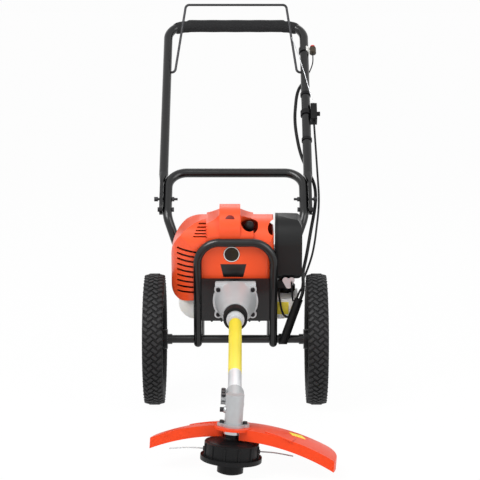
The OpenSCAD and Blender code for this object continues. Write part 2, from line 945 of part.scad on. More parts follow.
module cable_conduit() {
    top = conduit_route[0];
    way = conduit_route[1] - top;
    color("#202020") difference() {
        union() {
            translate(top) aim(way) bar_z(conduit_d, 0, norm(way));
            translate([conduit_route[1][0], 0, axle_z])
                bar_x(axle_tube_d + 2 * conduit_wall, -conduit_d / 2, conduit_d / 2);
        }
        translate(top) aim(way) bar_z(conduit_bore, -over, conduit_deep);
        axle_space();
    }
}

module cable_clips() {
    color("#101010") handle_frame() for (share = clip_shares)
        translate([handle_w / 2, share * grip_reach, 0]) rotate([-90, 0, 0]) linear_extrude(clip_w)
            ring(frame_d + 2 * clip_t, clip_t);
}

// Engine

module clutch_bolt_places() {
    for (x = [-clutch_bolt_x, clutch_bolt_x], z = [-clutch_bolt_z, clutch_bolt_z])
        translate([x, 0, z]) children();
}

module crankcase() {
    back = case_front + case_len;
    color("silver") engine_frame() difference() {
        union() {
            bar_y(crankcase_d, case_front, back);
            slab_y(case_front, case_front + pad_t)
                round_rect(2 * (clutch_bolt_x + pad_r), 2 * (clutch_bolt_z + pad_r), pad_r);
            translate([-case_neck_w / 2, case_front, 0]) cube([case_neck_w, case_len, case_neck_h]);
            clutch_bolt_places() bar_y(2 * pad_r, 0, case_front + over);
        }
        bar_y(crank_d + 2 * running_fit, 0, back + over);
        bar_y(chamber_d, case_front + pad_t, back - pad_t);
        clutch_bolt_places() bar_y(clutch_bolt_d, -over, case_front);
    }
}

module crankshaft() {
    color("silver") engine_frame() {
        bar_y(crank_d, shoe_end - shoe_len, case_front + case_len + shaft_tail);
    }
}

module flywheel() {
    blade_len = flywheel_d / 2 - crank_d;
    color("gray") engine_frame() difference() {
        union() {
            bar_y(flywheel_d, fly_y, fly_y + fly_t);
            bar_y(2 * crank_d, fly_y, fly_y + fly_h);
            for (i = [0 : blade_count - 1]) rotate([0, 360 * i / blade_count, 0])
                translate([crank_d - over, fly_y + fly_t - over, -blade_t / 2])
                    cube([blade_len, fly_h - fly_t, blade_t]);
        }
        bar_y(crank_d, 0, cowl_len);
    }
}

module clutch_shoes() {
    color("dimgray") engine_frame() difference() {
        bar_y(shoe_d, shoe_end - shoe_len, shoe_end);
        bar_y(crank_d, shoe_end - 2 * shoe_len, shoe_end + over);
        for (side = [-1, 1]) translate([side * shoe_d / 2, shoe_end - shoe_len / 2, 0])
            cube([shoe_d - 2 * crank_d, 2 * shoe_len, shoe_gap], center = true);
    }
}

module cylinder_block_fins() {
    pitch = (cyl_top - case_neck_h - fin_t) / fins;
    for (i = [1 : fins]) translate([0, cyl_y, case_neck_h + i * pitch])
        linear_extrude(fin_t) round_rect(fin_w, fin_len, fin_corner);
}

module cylinder_block() {
    color("silver") engine_frame() difference() {
        union() {
            translate([0, cyl_y, 0]) bar_z(barrel_d, case_neck_h, cyl_top);
            cylinder_block_fins();
        }
        plug_frame() {
            bar_z(plug_d, -plug_seat, cyl_top);
            bar_z(boot_d + 2 * clearance, plug_seat - clearance, cyl_top);
        }
    }
}

module plug_frame() {
    translate([plug_x, cyl_y, cyl_top]) rotate([boot_lean, boot_turn, 0]) children();
}

module spark_plug() {
    color("white") engine_frame() plug_frame() {
        bar_z(plug_d, -plug_seat, plug_len);
        cylinder_hex(plug_d + 2 * plug_rim, plug_seat, plug_seat + plug_hex);
    }
}

module cylinder_hex(d, from, to) { translate([0, 0, from]) cylinder(d = d, h = to - from, $fn = 6); }

module plug_boot() {
    color("black") engine_frame() plug_frame() difference() {
        union() {
            bar_z(boot_d, plug_seat + plug_hex + clearance, plug_len + boot_len);
            translate([0, 0, plug_len + boot_len]) sphere(d = boot_d);
        }
        bar_z(plug_d, 0, plug_len);
    }
}

module muffler_form(inset) {
    r = muffler_corner - inset;
    translate([muffler_x, muffler_y, muffler_z]) slab_y(inset, muffler_len - inset)
        soft_rect([inset, inset], [muffler_w - inset, muffler_h - inset], [r, r, r, r]);
}

module muffler() {
    color("dimgray") engine_frame() difference() {
        union() {
            muffler_form(0);
            translate([0, cyl_y, port_z]) bar_x(port_d, muffler_x + muffler_w - muffler_t, -fin_w / 2);
        }
        muffler_form(muffler_t);
        translate([0, cyl_y, port_z])
            bar_x(port_d - 2 * muffler_t, muffler_x + muffler_w / 2, over - fin_w / 2);
    }
}

// The outline of the engine cover, drawn in by a wall's thickness where inset is more than zero
module cowl_form(inset, deeper) {
    right = cowl_w - cowl_left - inset;
    left = inset - cowl_left;
    near = cowl_gap + inset;
    far = cowl_gap + cowl_len - inset;
    low = -cowl_drop - deeper;
    high = cowl_h - inset;
    intersection() {
        slab_y(near, far) soft_rect([left, low], [right, high],
            [cowl_round_bl, cowl_round_br, cowl_tip - inset, cowl_round_tl - inset]);
        slab_x(left, right) soft_rect([near, low], [far, high],
            [cowl_t, cowl_t, cowl_back - inset, cowl_nose - inset]);
        translate([0, 0, low]) linear_extrude(high - low) soft_rect([left, near], [right, far],
            [cowl_corner - inset, cowl_corner_small - inset, cowl_corner_small - inset, cowl_corner - inset]);
    }
}

module cowl_tongue() {
    slab_x(tongue_x - tongue_w / 2, tongue_x + tongue_w / 2)
        soft_rect([cowl_gap, cowl_h - cowl_nose], [cowl_gap + cowl_len - cowl_back, cowl_h + tongue_h],
            [cowl_t, cowl_t, cowl_round_br, tongue_round]);
}

// The cover's top sweeps up to the tongue on both sides
module cowl_shoulders() {
    rise = atan2(shoulder_h, shoulder_w);
    chord = norm([shoulder_h, shoulder_w]);
    intersection() {
        for (side = [-1, 1]) slab_y(cowl_gap, cowl_gap + cowl_len) translate([tongue_x, cowl_h]) scale_x(side)
            translate([tongue_w / 2 - cowl_t, -cowl_nose]) difference() {
                square([shoulder_w + cowl_t, cowl_nose + shoulder_h]);
                translate([0, cowl_nose + shoulder_h]) rotate(-rise)
                    translate([chord / 2, sqrt(pow(shoulder_sweep, 2) - pow(chord / 2, 2))])
                        circle(r = shoulder_sweep);
            }
        slab_x(-cowl_w, cowl_w) soft_rect([cowl_gap, cowl_h - cowl_nose],
            [cowl_gap + cowl_len - cowl_back, cowl_h + shoulder_h + cowl_t],
            [cowl_t, cowl_t, cowl_round_br, cowl_nose - over]);
    }
}

module cowl() {
    color("orangered") engine_frame() difference() {
        union() {
            cowl_form(0, 0);
            cowl_tongue();
            cowl_shoulders();
        }
        cowl_form(cowl_t, cowl_round_bl);
        bar_y(hole_d, 0, cowl_nose);
        clutch_bolt_places() bar_y(2 * (pad_r + clearance), 0, cowl_nose);
        bar_y(starter_d + 2 * starter_gap, cowl_len - cowl_corner_small, 2 * cowl_len);
        for (i = [0 : louvres - 1])
            translate([louvre_x, 0, louvre_low + i * louvre_pitch])
                rotate([0, louvre_slope * i / louvres, 0]) slab_y(0, cowl_corner) slot(louvre_w, louvre_h);
        for (i = [0 : vents - 1]) let (w = vent_w * (1 - i * vent_taper_share))
            translate([vent_right - w / 2, 0, vent_low + i * vent_pitch])
                slab_y(0, cowl_nose) slot(w, vent_h);
        translate([boot_x, cowl_gap + cowl_nose, cowl_h - cowl_nose]) rotate([90 - boot_slope, 0, 0])
            translate([0, 0, cowl_nose / 2]) linear_extrude(cowl_nose)
                rotate(90) slot(boot_hole_len, boot_hole_w);
        translate([cowl_w - cowl_left, 0, notch_z]) bar_y(2 * notch_r, 0, 2 * cowl_len);
        translate([0, cyl_y, carb_z + carb_h / 2]) slab_x(0, cowl_w)
            round_rect(carb_len + 2 * carb_room, carb_h + 2 * carb_room, carb_room);
    }
}

module carburettor() {
    color("lightgray") engine_frame() translate([fin_w / 2, cyl_y, carb_z + carb_h / 2]) {
        bar_x(carb_h - 2 * carb_room, 0, filter_x - fin_w / 2);
        slab_x(carb_room, filter_x - fin_w / 2 - clearance) round_rect(carb_len, carb_h, carb_room / 2);
    }
}

module filter_outline(inset) {
    soft_rect([filter_y + inset, filter_z + inset],
        [filter_y + filter_len - inset, filter_z + filter_h - inset],
        [filter_corner - inset, filter_corner - inset, filter_corner - inset, filter_brow - inset]);
}

module filter_base() {
    color("black") engine_frame() difference() {
        union() {
            slab_x(filter_x, filter_x + filter_base_t) filter_outline(0);
            translate([filter_x, lever_y + lever_t + clearance, lever_z - lever_r]) {
                cube([lever_x + lever_r - filter_x, lever_lug, filter_z - lever_z + lever_r - clearance]);
                cube([filter_base_t, lug_back, filter_z - lever_z + lever_r + over]);
            }
        }
        translate([0, cyl_y, carb_z + carb_h / 2]) bar_x(intake_d, 0, cowl_w);
        translate([lever_x, 0, lever_z]) bar_y(lever_pin_d + 2 * running_fit, 0, cowl_len);
    }
}

module filter_cover() {
    outer = filter_x + filter_w;
    color("#2b2b2d") engine_frame() difference() {
        intersection() {
            slab_x(filter_x + filter_base_t, outer) filter_outline(0);
            slab_y(0, cowl_len) filter_front(0);
        }
        intersection() {
            slab_x(filter_x, outer - filter_wall) filter_outline(filter_wall);
            slab_y(0, cowl_len) filter_front(filter_wall);
        }
    }
}

// The filter cover seen from the front, with a sloped shoulder at the top
module filter_front(inset) {
    top = filter_z + filter_h - inset;
    outer = filter_x + filter_w - inset;
    intersection() {
        soft_rect([0, filter_z + inset], [outer, top],
            [filter_corner, filter_corner - inset, filter_round - inset, filter_corner]);
        polygon([[0, 0], [outer, 0], [outer, top - filter_slope], [filter_x, top], [0, top]]);
    }
}

module throttle_lever() {
    color("lightgray") engine_frame() translate([lever_x, lever_y, lever_z]) {
        slab_y(0, lever_t) {
            circle(r = lever_r);
            for (turn = lever_turns) rotate(turn) translate([lever_arm / 2, 0])
                slot(lever_arm + 2 * lever_r, 2 * lever_r);
        }
        bar_y(lever_pin_d, lever_t - over, lever_t + clearance + lever_lug);
    }
}

module tank_form(inset) {
    low = inset - tank_drop;
    slab_y(tank_y + inset, tank_y + tank_len - inset) difference() {
        intersection() {
            soft_rect([inset - tank_left, low], [tank_w - tank_left - inset, tank_corner],
                [tank_corner - inset, tank_corner - inset, tank_t, tank_t]);
            translate([-tank_w, low]) square([2 * tank_w, -cowl_drop - inset - low]);
        }
        round_rect(2 * (clutch_bolt_x + pad_r + tank_gap + inset),
            crankcase_d + 2 * tank_gap + 2 * inset, pad_r + inset);
    }
}

module fuel_tank() {
    color("#eeeeea") engine_frame() difference() {
        union() {
            tank_form(0);
            translate([cap_x, cap_y, 0]) bar_z(neck_d, -cowl_drop - over, neck_h - cowl_drop);
        }
        tank_form(tank_t);
        translate([cap_x, cap_y, 0]) bar_z(neck_d - 2 * tank_t, -tank_drop + 2 * tank_t, cowl_h);
    }
}

module fuel_cap() {
    color("black") engine_frame() translate([cap_x, cap_y, -cowl_drop]) difference() {
        union() {
            bar_z(cap_d, over, cap_h);
            for (i = [0 : cap_ribs - 1]) rotate(360 * i / cap_ribs)
                translate([cap_d / 2, 0, 0]) bar_z(cap_rib_d, over, cap_h - over);
        }
        bar_z(neck_d + 2 * running_fit, 0, neck_h + clearance);
    }
}

module fuel_line() {
    start = [fuel_x, fuel_y, clearance - cowl_drop];
    end = [fuel_x, cyl_y - carb_len / 2 + fuel_line_d, carb_z - clearance];
    half_way = (start[2] + end[2]) / 2;
    color("khaki") engine_frame()
        tube_run([start, [start[0], start[1], half_way], [end[0], end[1], half_way], end],
            fuel_line_d, fuel_line_d, fuel_line_d);
}

module starter_cover() {
    front = case_front + case_len;
    back = front + starter_len;
    color("#1c1c1c") engine_frame() difference() {
        union() {
            bar_y(starter_d, front, back);
            translate([rope_x, back - rope_inset, 0]) bar_z(rope_boss_d, 0, rope_rise);
        }
        bar_y(crankcase_d - 4 * starter_t, front - over, back - 2 * starter_t);
        bar_y(starter_d - 2 * starter_t, front + starter_t, back - starter_t);
        for (i = [0 : starter_slots - 1]) rotate([0, 360 * i / starter_slots, 0])
            translate([starter_d * slot_ring_share, 0, 0]) slab_y(back - 2 * starter_t, back + over)
                slot(starter_d * slot_long_share, 2 * starter_t);
        translate([rope_x, back - rope_inset, 0]) bar_z(rope_d + 2 * clearance, 0, rope_rise + over);
    }
}

module starter_grip() {
    back = case_front + case_len + starter_len;
    color("black") engine_frame() translate([rope_x, back - rope_inset, rope_rise + clearance]) {
        bar_z(rope_d, -grip_seat, grip_bar_d / 2);
        bar_z(rope_boss_d - 2 * starter_t, 0, grip_bar_d);
        translate([0, 0, grip_bar_d]) {
            bar_x(grip_bar_d, -grip_w / 2, grip_w / 2);
            for (side = [-1, 1]) translate([side * grip_w / 2, 0, 0]) sphere(d = grip_bar_d);
        }
    }
}

// Clutch housing and shaft

module clutch_housing() {
    front = -plate_t - flange_t;
    nose = front - bell_len;
    mouth_d = clutch_d - ledge_h / 2;
    color("silver") engine_frame() difference() {
        union() {
            slab_y(front, -plate_t) {
                intersection() {
                    circle(d = clutch_d);
                    square([clutch_d, clutch_d * flange_flat_share], center = true);
                }
                translate([0, clutch_d * flange_flat_share / 2 - ledge_h / 2])
                    round_rect(clutch_d * ledge_share, ledge_h, ledge_h / 4);
            }
            translate([0, front, 0]) rotate([90, 0, 0])
                cylinder(d1 = mouth_d, d2 = bell_nose_d, h = bell_len);
            bar_y(sleeve_d, nose - nose_len, nose + over);
            clutch_bolt_places() bar_y(clutch_head_d + 2 * bell_t, front - bolt_boss, front + over);
        }
        translate([0, front + over, 0]) rotate([90, 0, 0])
            cylinder(d1 = mouth_d - 2 * bell_t, d2 = drum_d - 2 * bell_t, h = bell_len - web_len);
        bar_y(mouth_d - 2 * bell_t, front, 0);
        bar_y(drum_hub_d + 2 * running_fit, nose - nose_len, 0);
        bar_y(shaft_d, nose - nose_len - over, tube_end - engine_s);
        clutch_bolt_places() {
            bar_y(clutch_bolt_d, -clutch_d, 0);
            bar_y(clutch_head_d + 2 * clearance, -clutch_d, front - bolt_boss + clutch_head_h / 2);
        }
    }
}

module clutch_bolts() {
    front = -plate_t - flange_t - bolt_boss + clutch_head_h / 2;
    color("#202020") engine_frame() clutch_bolt_places() difference() {
        union() {
            bar_y(clutch_bolt_d, front - over, case_front - pad_t);
            bar_y(clutch_head_d, front - clutch_head_h, front);
        }
        translate([0, front - clutch_head_h - over, 0]) rotate([-90, 0, 0])
            cylinder(d = clutch_bolt_d, h = clutch_head_h / 2 + over, $fn = 6);
    }
}

module damper_ring() {
    nose = -plate_t - flange_t - bell_len;
    color("#181818") engine_frame() difference() {
        bar_y(damper_d, nose - nose_len + damper_back, nose - clearance);
        bar_y(sleeve_d, 2 * nose, 0);
    }
}

module shaft_tube() {
    color("gainsboro") shaft_frame() difference() {
        bar_y(shaft_d, tube_start, tube_end);
        bar_y(shaft_d - 2 * shaft_wall, 0, 2 * tube_end);
    }
}

module shaft_bushes() {
    span = tube_end - tube_start - bush_len;
    color("khaki") shaft_frame() difference() {
        for (share = bush_shares) bar_y(shaft_d - 2 * shaft_wall,
            tube_start + share * span, tube_start + share * span + bush_len);
        bar_y(drive_d + 2 * running_fit, 0, 2 * tube_end);
    }
}

module drive_shaft() {
    color("silver") shaft_frame() bar_y(drive_d, pinion_front, engine_s + shoe_end - shoe_len - drum_gap);
}

module clutch_drum() {
    web = shoe_end - shoe_len - drum_gap;
    color("gray") engine_frame() difference() {
        union() {
            bar_y(drum_d, web - drum_t, web + drum_len);
            bar_y(drum_hub_d, web - drum_hub_len, web);
        }
        bar_y(drum_d - 2 * drum_t, web, web + drum_len + over);
        bar_y(drive_d, web - 2 * drum_hub_len, web + over);
    }
}

// Gear case and cutting head

// The toothed outline of a bevel gear at its back face
module gear_outline(teeth, back, cone) {
    tip = back * tan(cone + tooth_tip);
    root = back * tan(cone - tooth_root);
    step = 360 / teeth;
    polygon([for (i = [0 : teeth - 1], k = [0 : 3]) let (
            high = k == 1 || k == 2,
            half = high ? tooth_tip_share : tooth_half_share,
            a = step * (i + (k < 2 ? -half : half)),
            r = high ? tip : root
        ) [r * cos(a), r * sin(a)]]);
}

module bevel_gear(teeth, back, cone, face) {
    mirror([0, 0, 1]) linear_extrude(face, scale = 1 - face / back) gear_outline(teeth, back, cone);
}

module pinion() {
    color("gray") shaft_frame() rotate([0, head_roll, 0]) difference() {
        union() {
            translate([0, pinion_back, 0]) rotate([-90, 0, 0]) rotate(pinion_phase)
                bevel_gear(pinion_teeth, pinion_back, pinion_cone, pinion_face);
            bar_y(pinion_hub_d, pinion_back, tube_start - clearance);
        }
        bar_y(drive_d, 0, 2 * tube_start);
    }
}

module crown_gear() {
    disc_r = crown_back * tan(crown_cone - tooth_root) - clearance;
    color("gray") head_frame() difference() {
        union() {
            translate([0, 0, crown_back]) rotate(crown_phase)
                bevel_gear(crown_teeth, crown_back, crown_cone, crown_face);
            bar_z(2 * disc_r, crown_back, crown_back + case_wall);
        }
        bar_z(output_d, 0, 2 * crown_back);
    }
}

module gear_case() {
    foot_z = -case_drop - foot_t;
    color("gray") head_frame() difference() {
        union() {
            bar_z(2 * case_r, -case_drop, case_top);
            translate([0, 0, foot_z]) linear_extrude(foot_t) {
                slot(2 * foot_reach, 2 * foot_r);
                circle(r = case_r + foot_t);
            }
            rotate([shaft_angle, 0, 0]) {
                bar_y(collar_clamp_d, 0, collar_clamp_len);
                translate([-collar_clamp_d / 2 - ear_w + case_wall, collar_clamp_len - ear_len, -ear_h / 2])
                    cube([ear_w, ear_len, ear_h]);
            }
        }
        bar_z(2 * (case_r - case_wall), case_floor_r - case_drop, case_top - case_wall);
        bar_z(output_d + 2 * running_fit, 2 * foot_z, 0);
        rotate([shaft_angle, 0, 0]) {
            bar_y(2 * pinion_room_r, 0, tube_start + over);
            bar_y(shaft_d, tube_start, 2 * collar_clamp_len);
            translate([-collar_clamp_d, collar_clamp_len - ear_len, -slit_w / 2])
                cube([collar_clamp_d, 2 * ear_len, slit_w]);
            clamp_bolt_places() bar_z(clamp_bolt_d, -ear_h, ear_h);
        }
        guard_bolt_places() bar_z(clamp_bolt_d, 2 * foot_z, 0);
    }
}

module clamp_bolt_places() {
    middle = -collar_clamp_d / 2 - ear_w / 2 + case_wall / 2;
    for (share = clamp_shares) translate([middle, collar_clamp_len - ear_len * share, 0]) children();
}

module guard_bolt_places() {
    for (side = [-1, 1]) translate([side * (foot_reach - foot_r), 0, 0]) children();
}

module gear_case_bolts() {
    foot_z = -case_drop - foot_t;
    color("#202020") head_frame() {
        rotate([shaft_angle, 0, 0]) clamp_bolt_places() {
            bar_z(clamp_bolt_d, -ear_h / 2 - over, ear_h / 2 + over);
            bar_z(clamp_head_d, ear_h / 2, ear_h / 2 + clamp_bolt_d);
        }
        guard_bolt_places() {
            bar_z(clamp_bolt_d, foot_z - guard_pad, foot_z + foot_t + over);
            bar_z(clamp_head_d, foot_z + foot_t, foot_z + foot_t + clamp_bolt_d);
        }
    }
}

module output_shaft() {
    foot_z = -case_drop - foot_t;
    color("silver") head_frame() {
        bar_z(output_d, -head_floor + knob_travel, case_top - case_wall - clearance);
        bar_z(spacer_d, foot_z - clearance - spacer_h, foot_z - clearance);
    }
}

module head_housing() {
    boss_z = -case_drop - foot_t - clearance - spacer_h;
    body_r = head_body_d / 2;
    color("#1d1d1f") head_frame() difference() {
        union() {
            bar_z(boss_d, -head_top, boss_z);
            bar_z(head_body_d, -head_top - head_body_h, -head_top);
            bar_z(head_flange_d, -head_floor, -head_top - head_body_h);
            for (side = [-1, 1]) scale_x(side) translate([0, 0, -line_drop])
                bar_x(eyelet_d, 0, body_r + eyelet_out);
            for (i = [0 : head_ribs - 1]) rotate(360 * (i + 1 / 2) / head_ribs) translate([body_r, 0, 0])
                bar_z(head_rib_d, -head_top - head_body_h - over, -head_top - head_wall);
        }
        bar_z(head_body_d - 2 * head_wall, -head_floor + head_plate, -head_top - head_wall);
        bar_z(knob_d + 2 * clearance, -2 * head_floor, -head_top - head_wall - over);
        bar_z(output_d, -head_floor, 0);
        translate([0, 0, -line_drop]) bar_x(line_d + 2 * clearance, -head_body_d, head_body_d);
    }
}

module bump_knob() {
    seat_z = head_plate - head_floor + clearance;
    color("#161618") head_frame() difference() {
        union() {
            intersection() {
                bar_z(knob_d, -knob_drop, seat_z);
                translate([0, 0, knob_dome_r - knob_drop]) sphere(r = knob_dome_r);
            }
            bar_z(spool_d, seat_z, seat_z + spool_rim);
            bar_z(stem_d, seat_z, seat_z + spool_h);
            bar_z(spool_d, seat_z + spool_h - spool_rim, seat_z + spool_h);
        }
        bar_z(output_d + 2 * running_fit, -head_floor - over, 0);
    }
}

// One end of the cutting line, from its eyelet outwards
module line_end(side) {
    start = head_body_d / 2 + eyelet_out;
    color("white") head_frame() scale_x(side)
        swept([for (p = line_route) [start + p[0], p[1], p[2] - line_drop]], line_d, line_sides);
}

module line_left() { line_end(-1); }
module line_right() { line_end(1); }

// The guard's plan, drawn in by inset
module guard_plan(inset) {
    intersection() {
        translate([guard_shift, 0]) circle(r = guard_r - inset);
        union() {
            translate([inset, inset - guard_ahead]) square(2 * guard_r);
            translate([-guard_r, inset + guard_behind]) square([2 * guard_r, guard_r]);
        }
    }
}

module guard_dome(lower) {
    translate([guard_shift, 0, -case_drop - foot_t - guard_dome_r - guard_dip - lower])
        sphere(r = guard_dome_r, $fn = dome_sides);
}

module guard() {
    top = -case_drop - foot_t;
    color("orangered") head_frame() difference() {
        rotate(-guard_turn) union() {
            intersection() {
                translate([0, 0, top - guard_r]) linear_extrude(guard_r) guard_plan(0);
                difference() {
                    guard_dome(0);
                    guard_dome(guard_t);
                }
            }
            intersection() {
                translate([0, 0, top - guard_r]) linear_extrude(guard_r) difference() {
                    guard_plan(0);
                    guard_plan(guard_t);
                }
                difference() {
                    guard_dome(0);
                    guard_dome(guard_rim);
                }
            }
            rotate(guard_turn) translate([0, 0, top - guard_pad]) linear_extrude(guard_pad)
                slot(2 * foot_reach + guard_pad, 2 * spacer_d - guard_pad);
        }
        bar_z(spacer_d + 2 * guard_pad, -knob_drop, 0);
        guard_bolt_places() bar_z(clamp_bolt_d, -knob_drop, 0);
    }
}

placed() axle_tube();
placed() axle_rod();
placed() wheel_nuts();
placed() front_hoop();
placed() engine_plate();
placed() lower_frame();
placed() upper_handle();
placed() handle_bolts();
placed() handle_nuts();
placed() foam_grip();
placed() cable_box();
placed() stop_switch();
placed() throttle_cable();
placed() throttle_wire();
placed() stop_lead();
placed() cable_conduit();
placed() cable_clips();
placed() crankcase();
placed() cylinder_block();
placed() spark_plug();
placed() plug_boot();
placed() muffler();
placed() cowl();
placed() carburettor();
placed() filter_base();
placed() filter_cover();
placed() fuel_tank();
placed() fuel_line();
placed() starter_cover();
placed() clutch_housing();
placed() clutch_bolts();
placed() damper_ring();
placed() shaft_tube();
placed() shaft_bushes();
placed() gear_case();
placed() gear_case_bolts();
placed() guard();
placed() left_tyre();
placed() left_rim();
placed() left_bushes();
placed() right_tyre();
placed() right_rim();
placed() right_bushes();
placed() crankshaft();
placed() flywheel();
placed() clutch_shoes();
placed() drive_shaft();
placed() clutch_drum();
placed() pinion();
placed() output_shaft();
placed() crown_gear();
placed() head_housing();
placed() line_left();
placed() line_right();
placed() bump_knob();
placed() bail();
placed() stop_button();
placed() throttle_lever();
placed() starter_grip();
placed() fuel_cap();
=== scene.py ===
"""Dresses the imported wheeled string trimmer: finishes for its solids, and the pieces that only show.

Lengths are in millimetres and angles in radians where nothing else is said.
"""

import json
import logging
import math
from dataclasses import dataclass
from enum import Enum
from functools import lru_cache
from typing import Any, Callable, Dict, Iterable, List, Optional, Sequence, Tuple

import bpy
from mathutils import Matrix, Vector


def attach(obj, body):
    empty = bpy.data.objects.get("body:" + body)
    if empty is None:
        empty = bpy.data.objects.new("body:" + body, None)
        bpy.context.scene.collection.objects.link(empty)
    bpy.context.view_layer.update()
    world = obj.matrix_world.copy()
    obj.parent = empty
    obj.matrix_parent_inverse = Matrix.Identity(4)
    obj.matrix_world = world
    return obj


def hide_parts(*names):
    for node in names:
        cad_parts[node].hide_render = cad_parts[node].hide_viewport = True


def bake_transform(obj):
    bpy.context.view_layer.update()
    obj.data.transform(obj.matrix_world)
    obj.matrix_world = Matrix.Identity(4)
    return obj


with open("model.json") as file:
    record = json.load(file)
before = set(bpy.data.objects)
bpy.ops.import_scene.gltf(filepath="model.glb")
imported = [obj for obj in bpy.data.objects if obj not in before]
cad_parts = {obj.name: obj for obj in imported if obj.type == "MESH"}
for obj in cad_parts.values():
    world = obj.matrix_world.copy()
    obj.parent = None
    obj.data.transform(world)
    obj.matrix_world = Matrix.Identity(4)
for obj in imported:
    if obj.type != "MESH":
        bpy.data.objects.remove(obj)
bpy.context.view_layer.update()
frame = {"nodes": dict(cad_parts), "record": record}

LOG = logging.getLogger("trimmer")
MM = 0.001
QUARTER = math.pi / 2
WHITE = (1.0, 1.0, 1.0, 1.0)
Colour = Tuple[float, float, float]
Point = Tuple[float, float, float]
Pair = Tuple[float, float]
Piece = bpy.types.Object
Outline = Sequence[Pair]

# What all finishes share: the darkest shade of a colour, where wear starts and how sharply, how far the broad and the
# fine pattern swing the roughness, and the look of the noise, of a clear coat, of brushed lines and of milky plastic.
SHADE = 0.82
WEAR_START = 0.62
WEAR_EDGE = 4.0
BROAD_SWING = 0.14
FINE_SWING = 0.1
NOISE_ROUGHNESS = 0.55
COAT_ROUGHNESS = 0.08
BRUSH_STRETCH = (1.0, 0.02, 1.0)
MILK_SHARE = 0.35
MILK_RADIUS = (0.012, 0.011, 0.009)


class Texture(Enum):
    """The kinds of surface that the machine's pieces have."""

    PAINT = "sprayed gloss paint with a faint orange peel"
    MOULDED = "moulded plastic with flow marks and a fine eroded grain"
    CAST = "die-cast alloy with a sanded skin and pits"
    BRUSHED = "drawn metal with fine lines along its length"
    RUBBER = "dull rubber with a powdery bloom"
    FOAM = "closed-cell foam with pores all over"
    MILKY = "milky plastic that lets light through"


class Field:
    """A shader socket that takes part in Python arithmetic."""

    def __init__(self, graph: "Graph", socket: bpy.types.NodeSocket) -> None:
        """Keeps an output socket and the node tree that it belongs to."""
        self.graph = graph
        self.socket = socket

    def _math(self, operation: str, first: Any, second: Any) -> "Field":
        """Adds one Math node on two fields or numbers."""
        return self.graph.node("ShaderNodeMath", {"operation": operation}, {0: first, 1: second})

    def __add__(self, other: Any) -> "Field":
        """Adds a field or a number."""
        return self._math("ADD", self, other)

    def __sub__(self, other: Any) -> "Field":
        """Takes a field or a number away."""
        return self._math("SUBTRACT", self, other)

    def __rsub__(self, other: Any) -> "Field":
        """Takes this value from a number."""
        return self._math("SUBTRACT", other, self)

    def __mul__(self, other: Any) -> "Field":
        """Multiplies by a field or a number."""
        return self._math("MULTIPLY", self, other)

    __radd__ = __add__
    __rmul__ = __mul__

    def above(self, limit: float) -> "Field":
        """One where this value is over the limit, and zero elsewhere."""
        return self._math("GREATER_THAN", self, limit)

    def largest(self, other: Any) -> "Field":
        """The larger of this value and another one."""
        return self._math("MAXIMUM", self, other)


class Graph:
    """A node tree, filled through one node-adding method."""

    def __init__(self, tree: bpy.types.NodeTree) -> None:
        """Keeps the tree that nodes are added to."""
        self.tree = tree

    def node(self, kind: str, settings: Dict[str, Any], inputs: Dict[Any, Any], output: Any = 0) -> Field:
        """Adds a node.

        Args:
            kind: the node's type.
            settings: its properties, set before its sockets.
            inputs: values or fields for its input sockets, by name or number.
            output: the output socket that the field stands for.

        Returns:
            A field on that output.
        """
        made = self.tree.nodes.new(kind)
        for key, value in settings.items():
            setattr(made, key, value)
        for key, value in inputs.items():
            self.link(made.inputs[key], value)
        return Field(self, made.outputs[output])

    def link(self, socket: bpy.types.NodeSocket, value: Any) -> None:
        """Links a field to a socket, or sets a plain value on it.

        Args:
            socket: the input socket.
            value: a field or a constant.
        """
        if isinstance(value, Field):
            self.tree.links.new(value.socket, socket)
        else:
            socket.default_value = value

    def seen(self) -> Field:
        """One for rays that show a thing, straight, mirrored or through a clear piece, and zero for the rest."""
        names = ("Is Camera Ray", "Is Glossy Ray", "Is Transmission Ray")
        rays = [self.node("ShaderNodeLightPath", {}, {}, name) for name in names]
        return rays[0].largest(rays[1]).largest(rays[2])


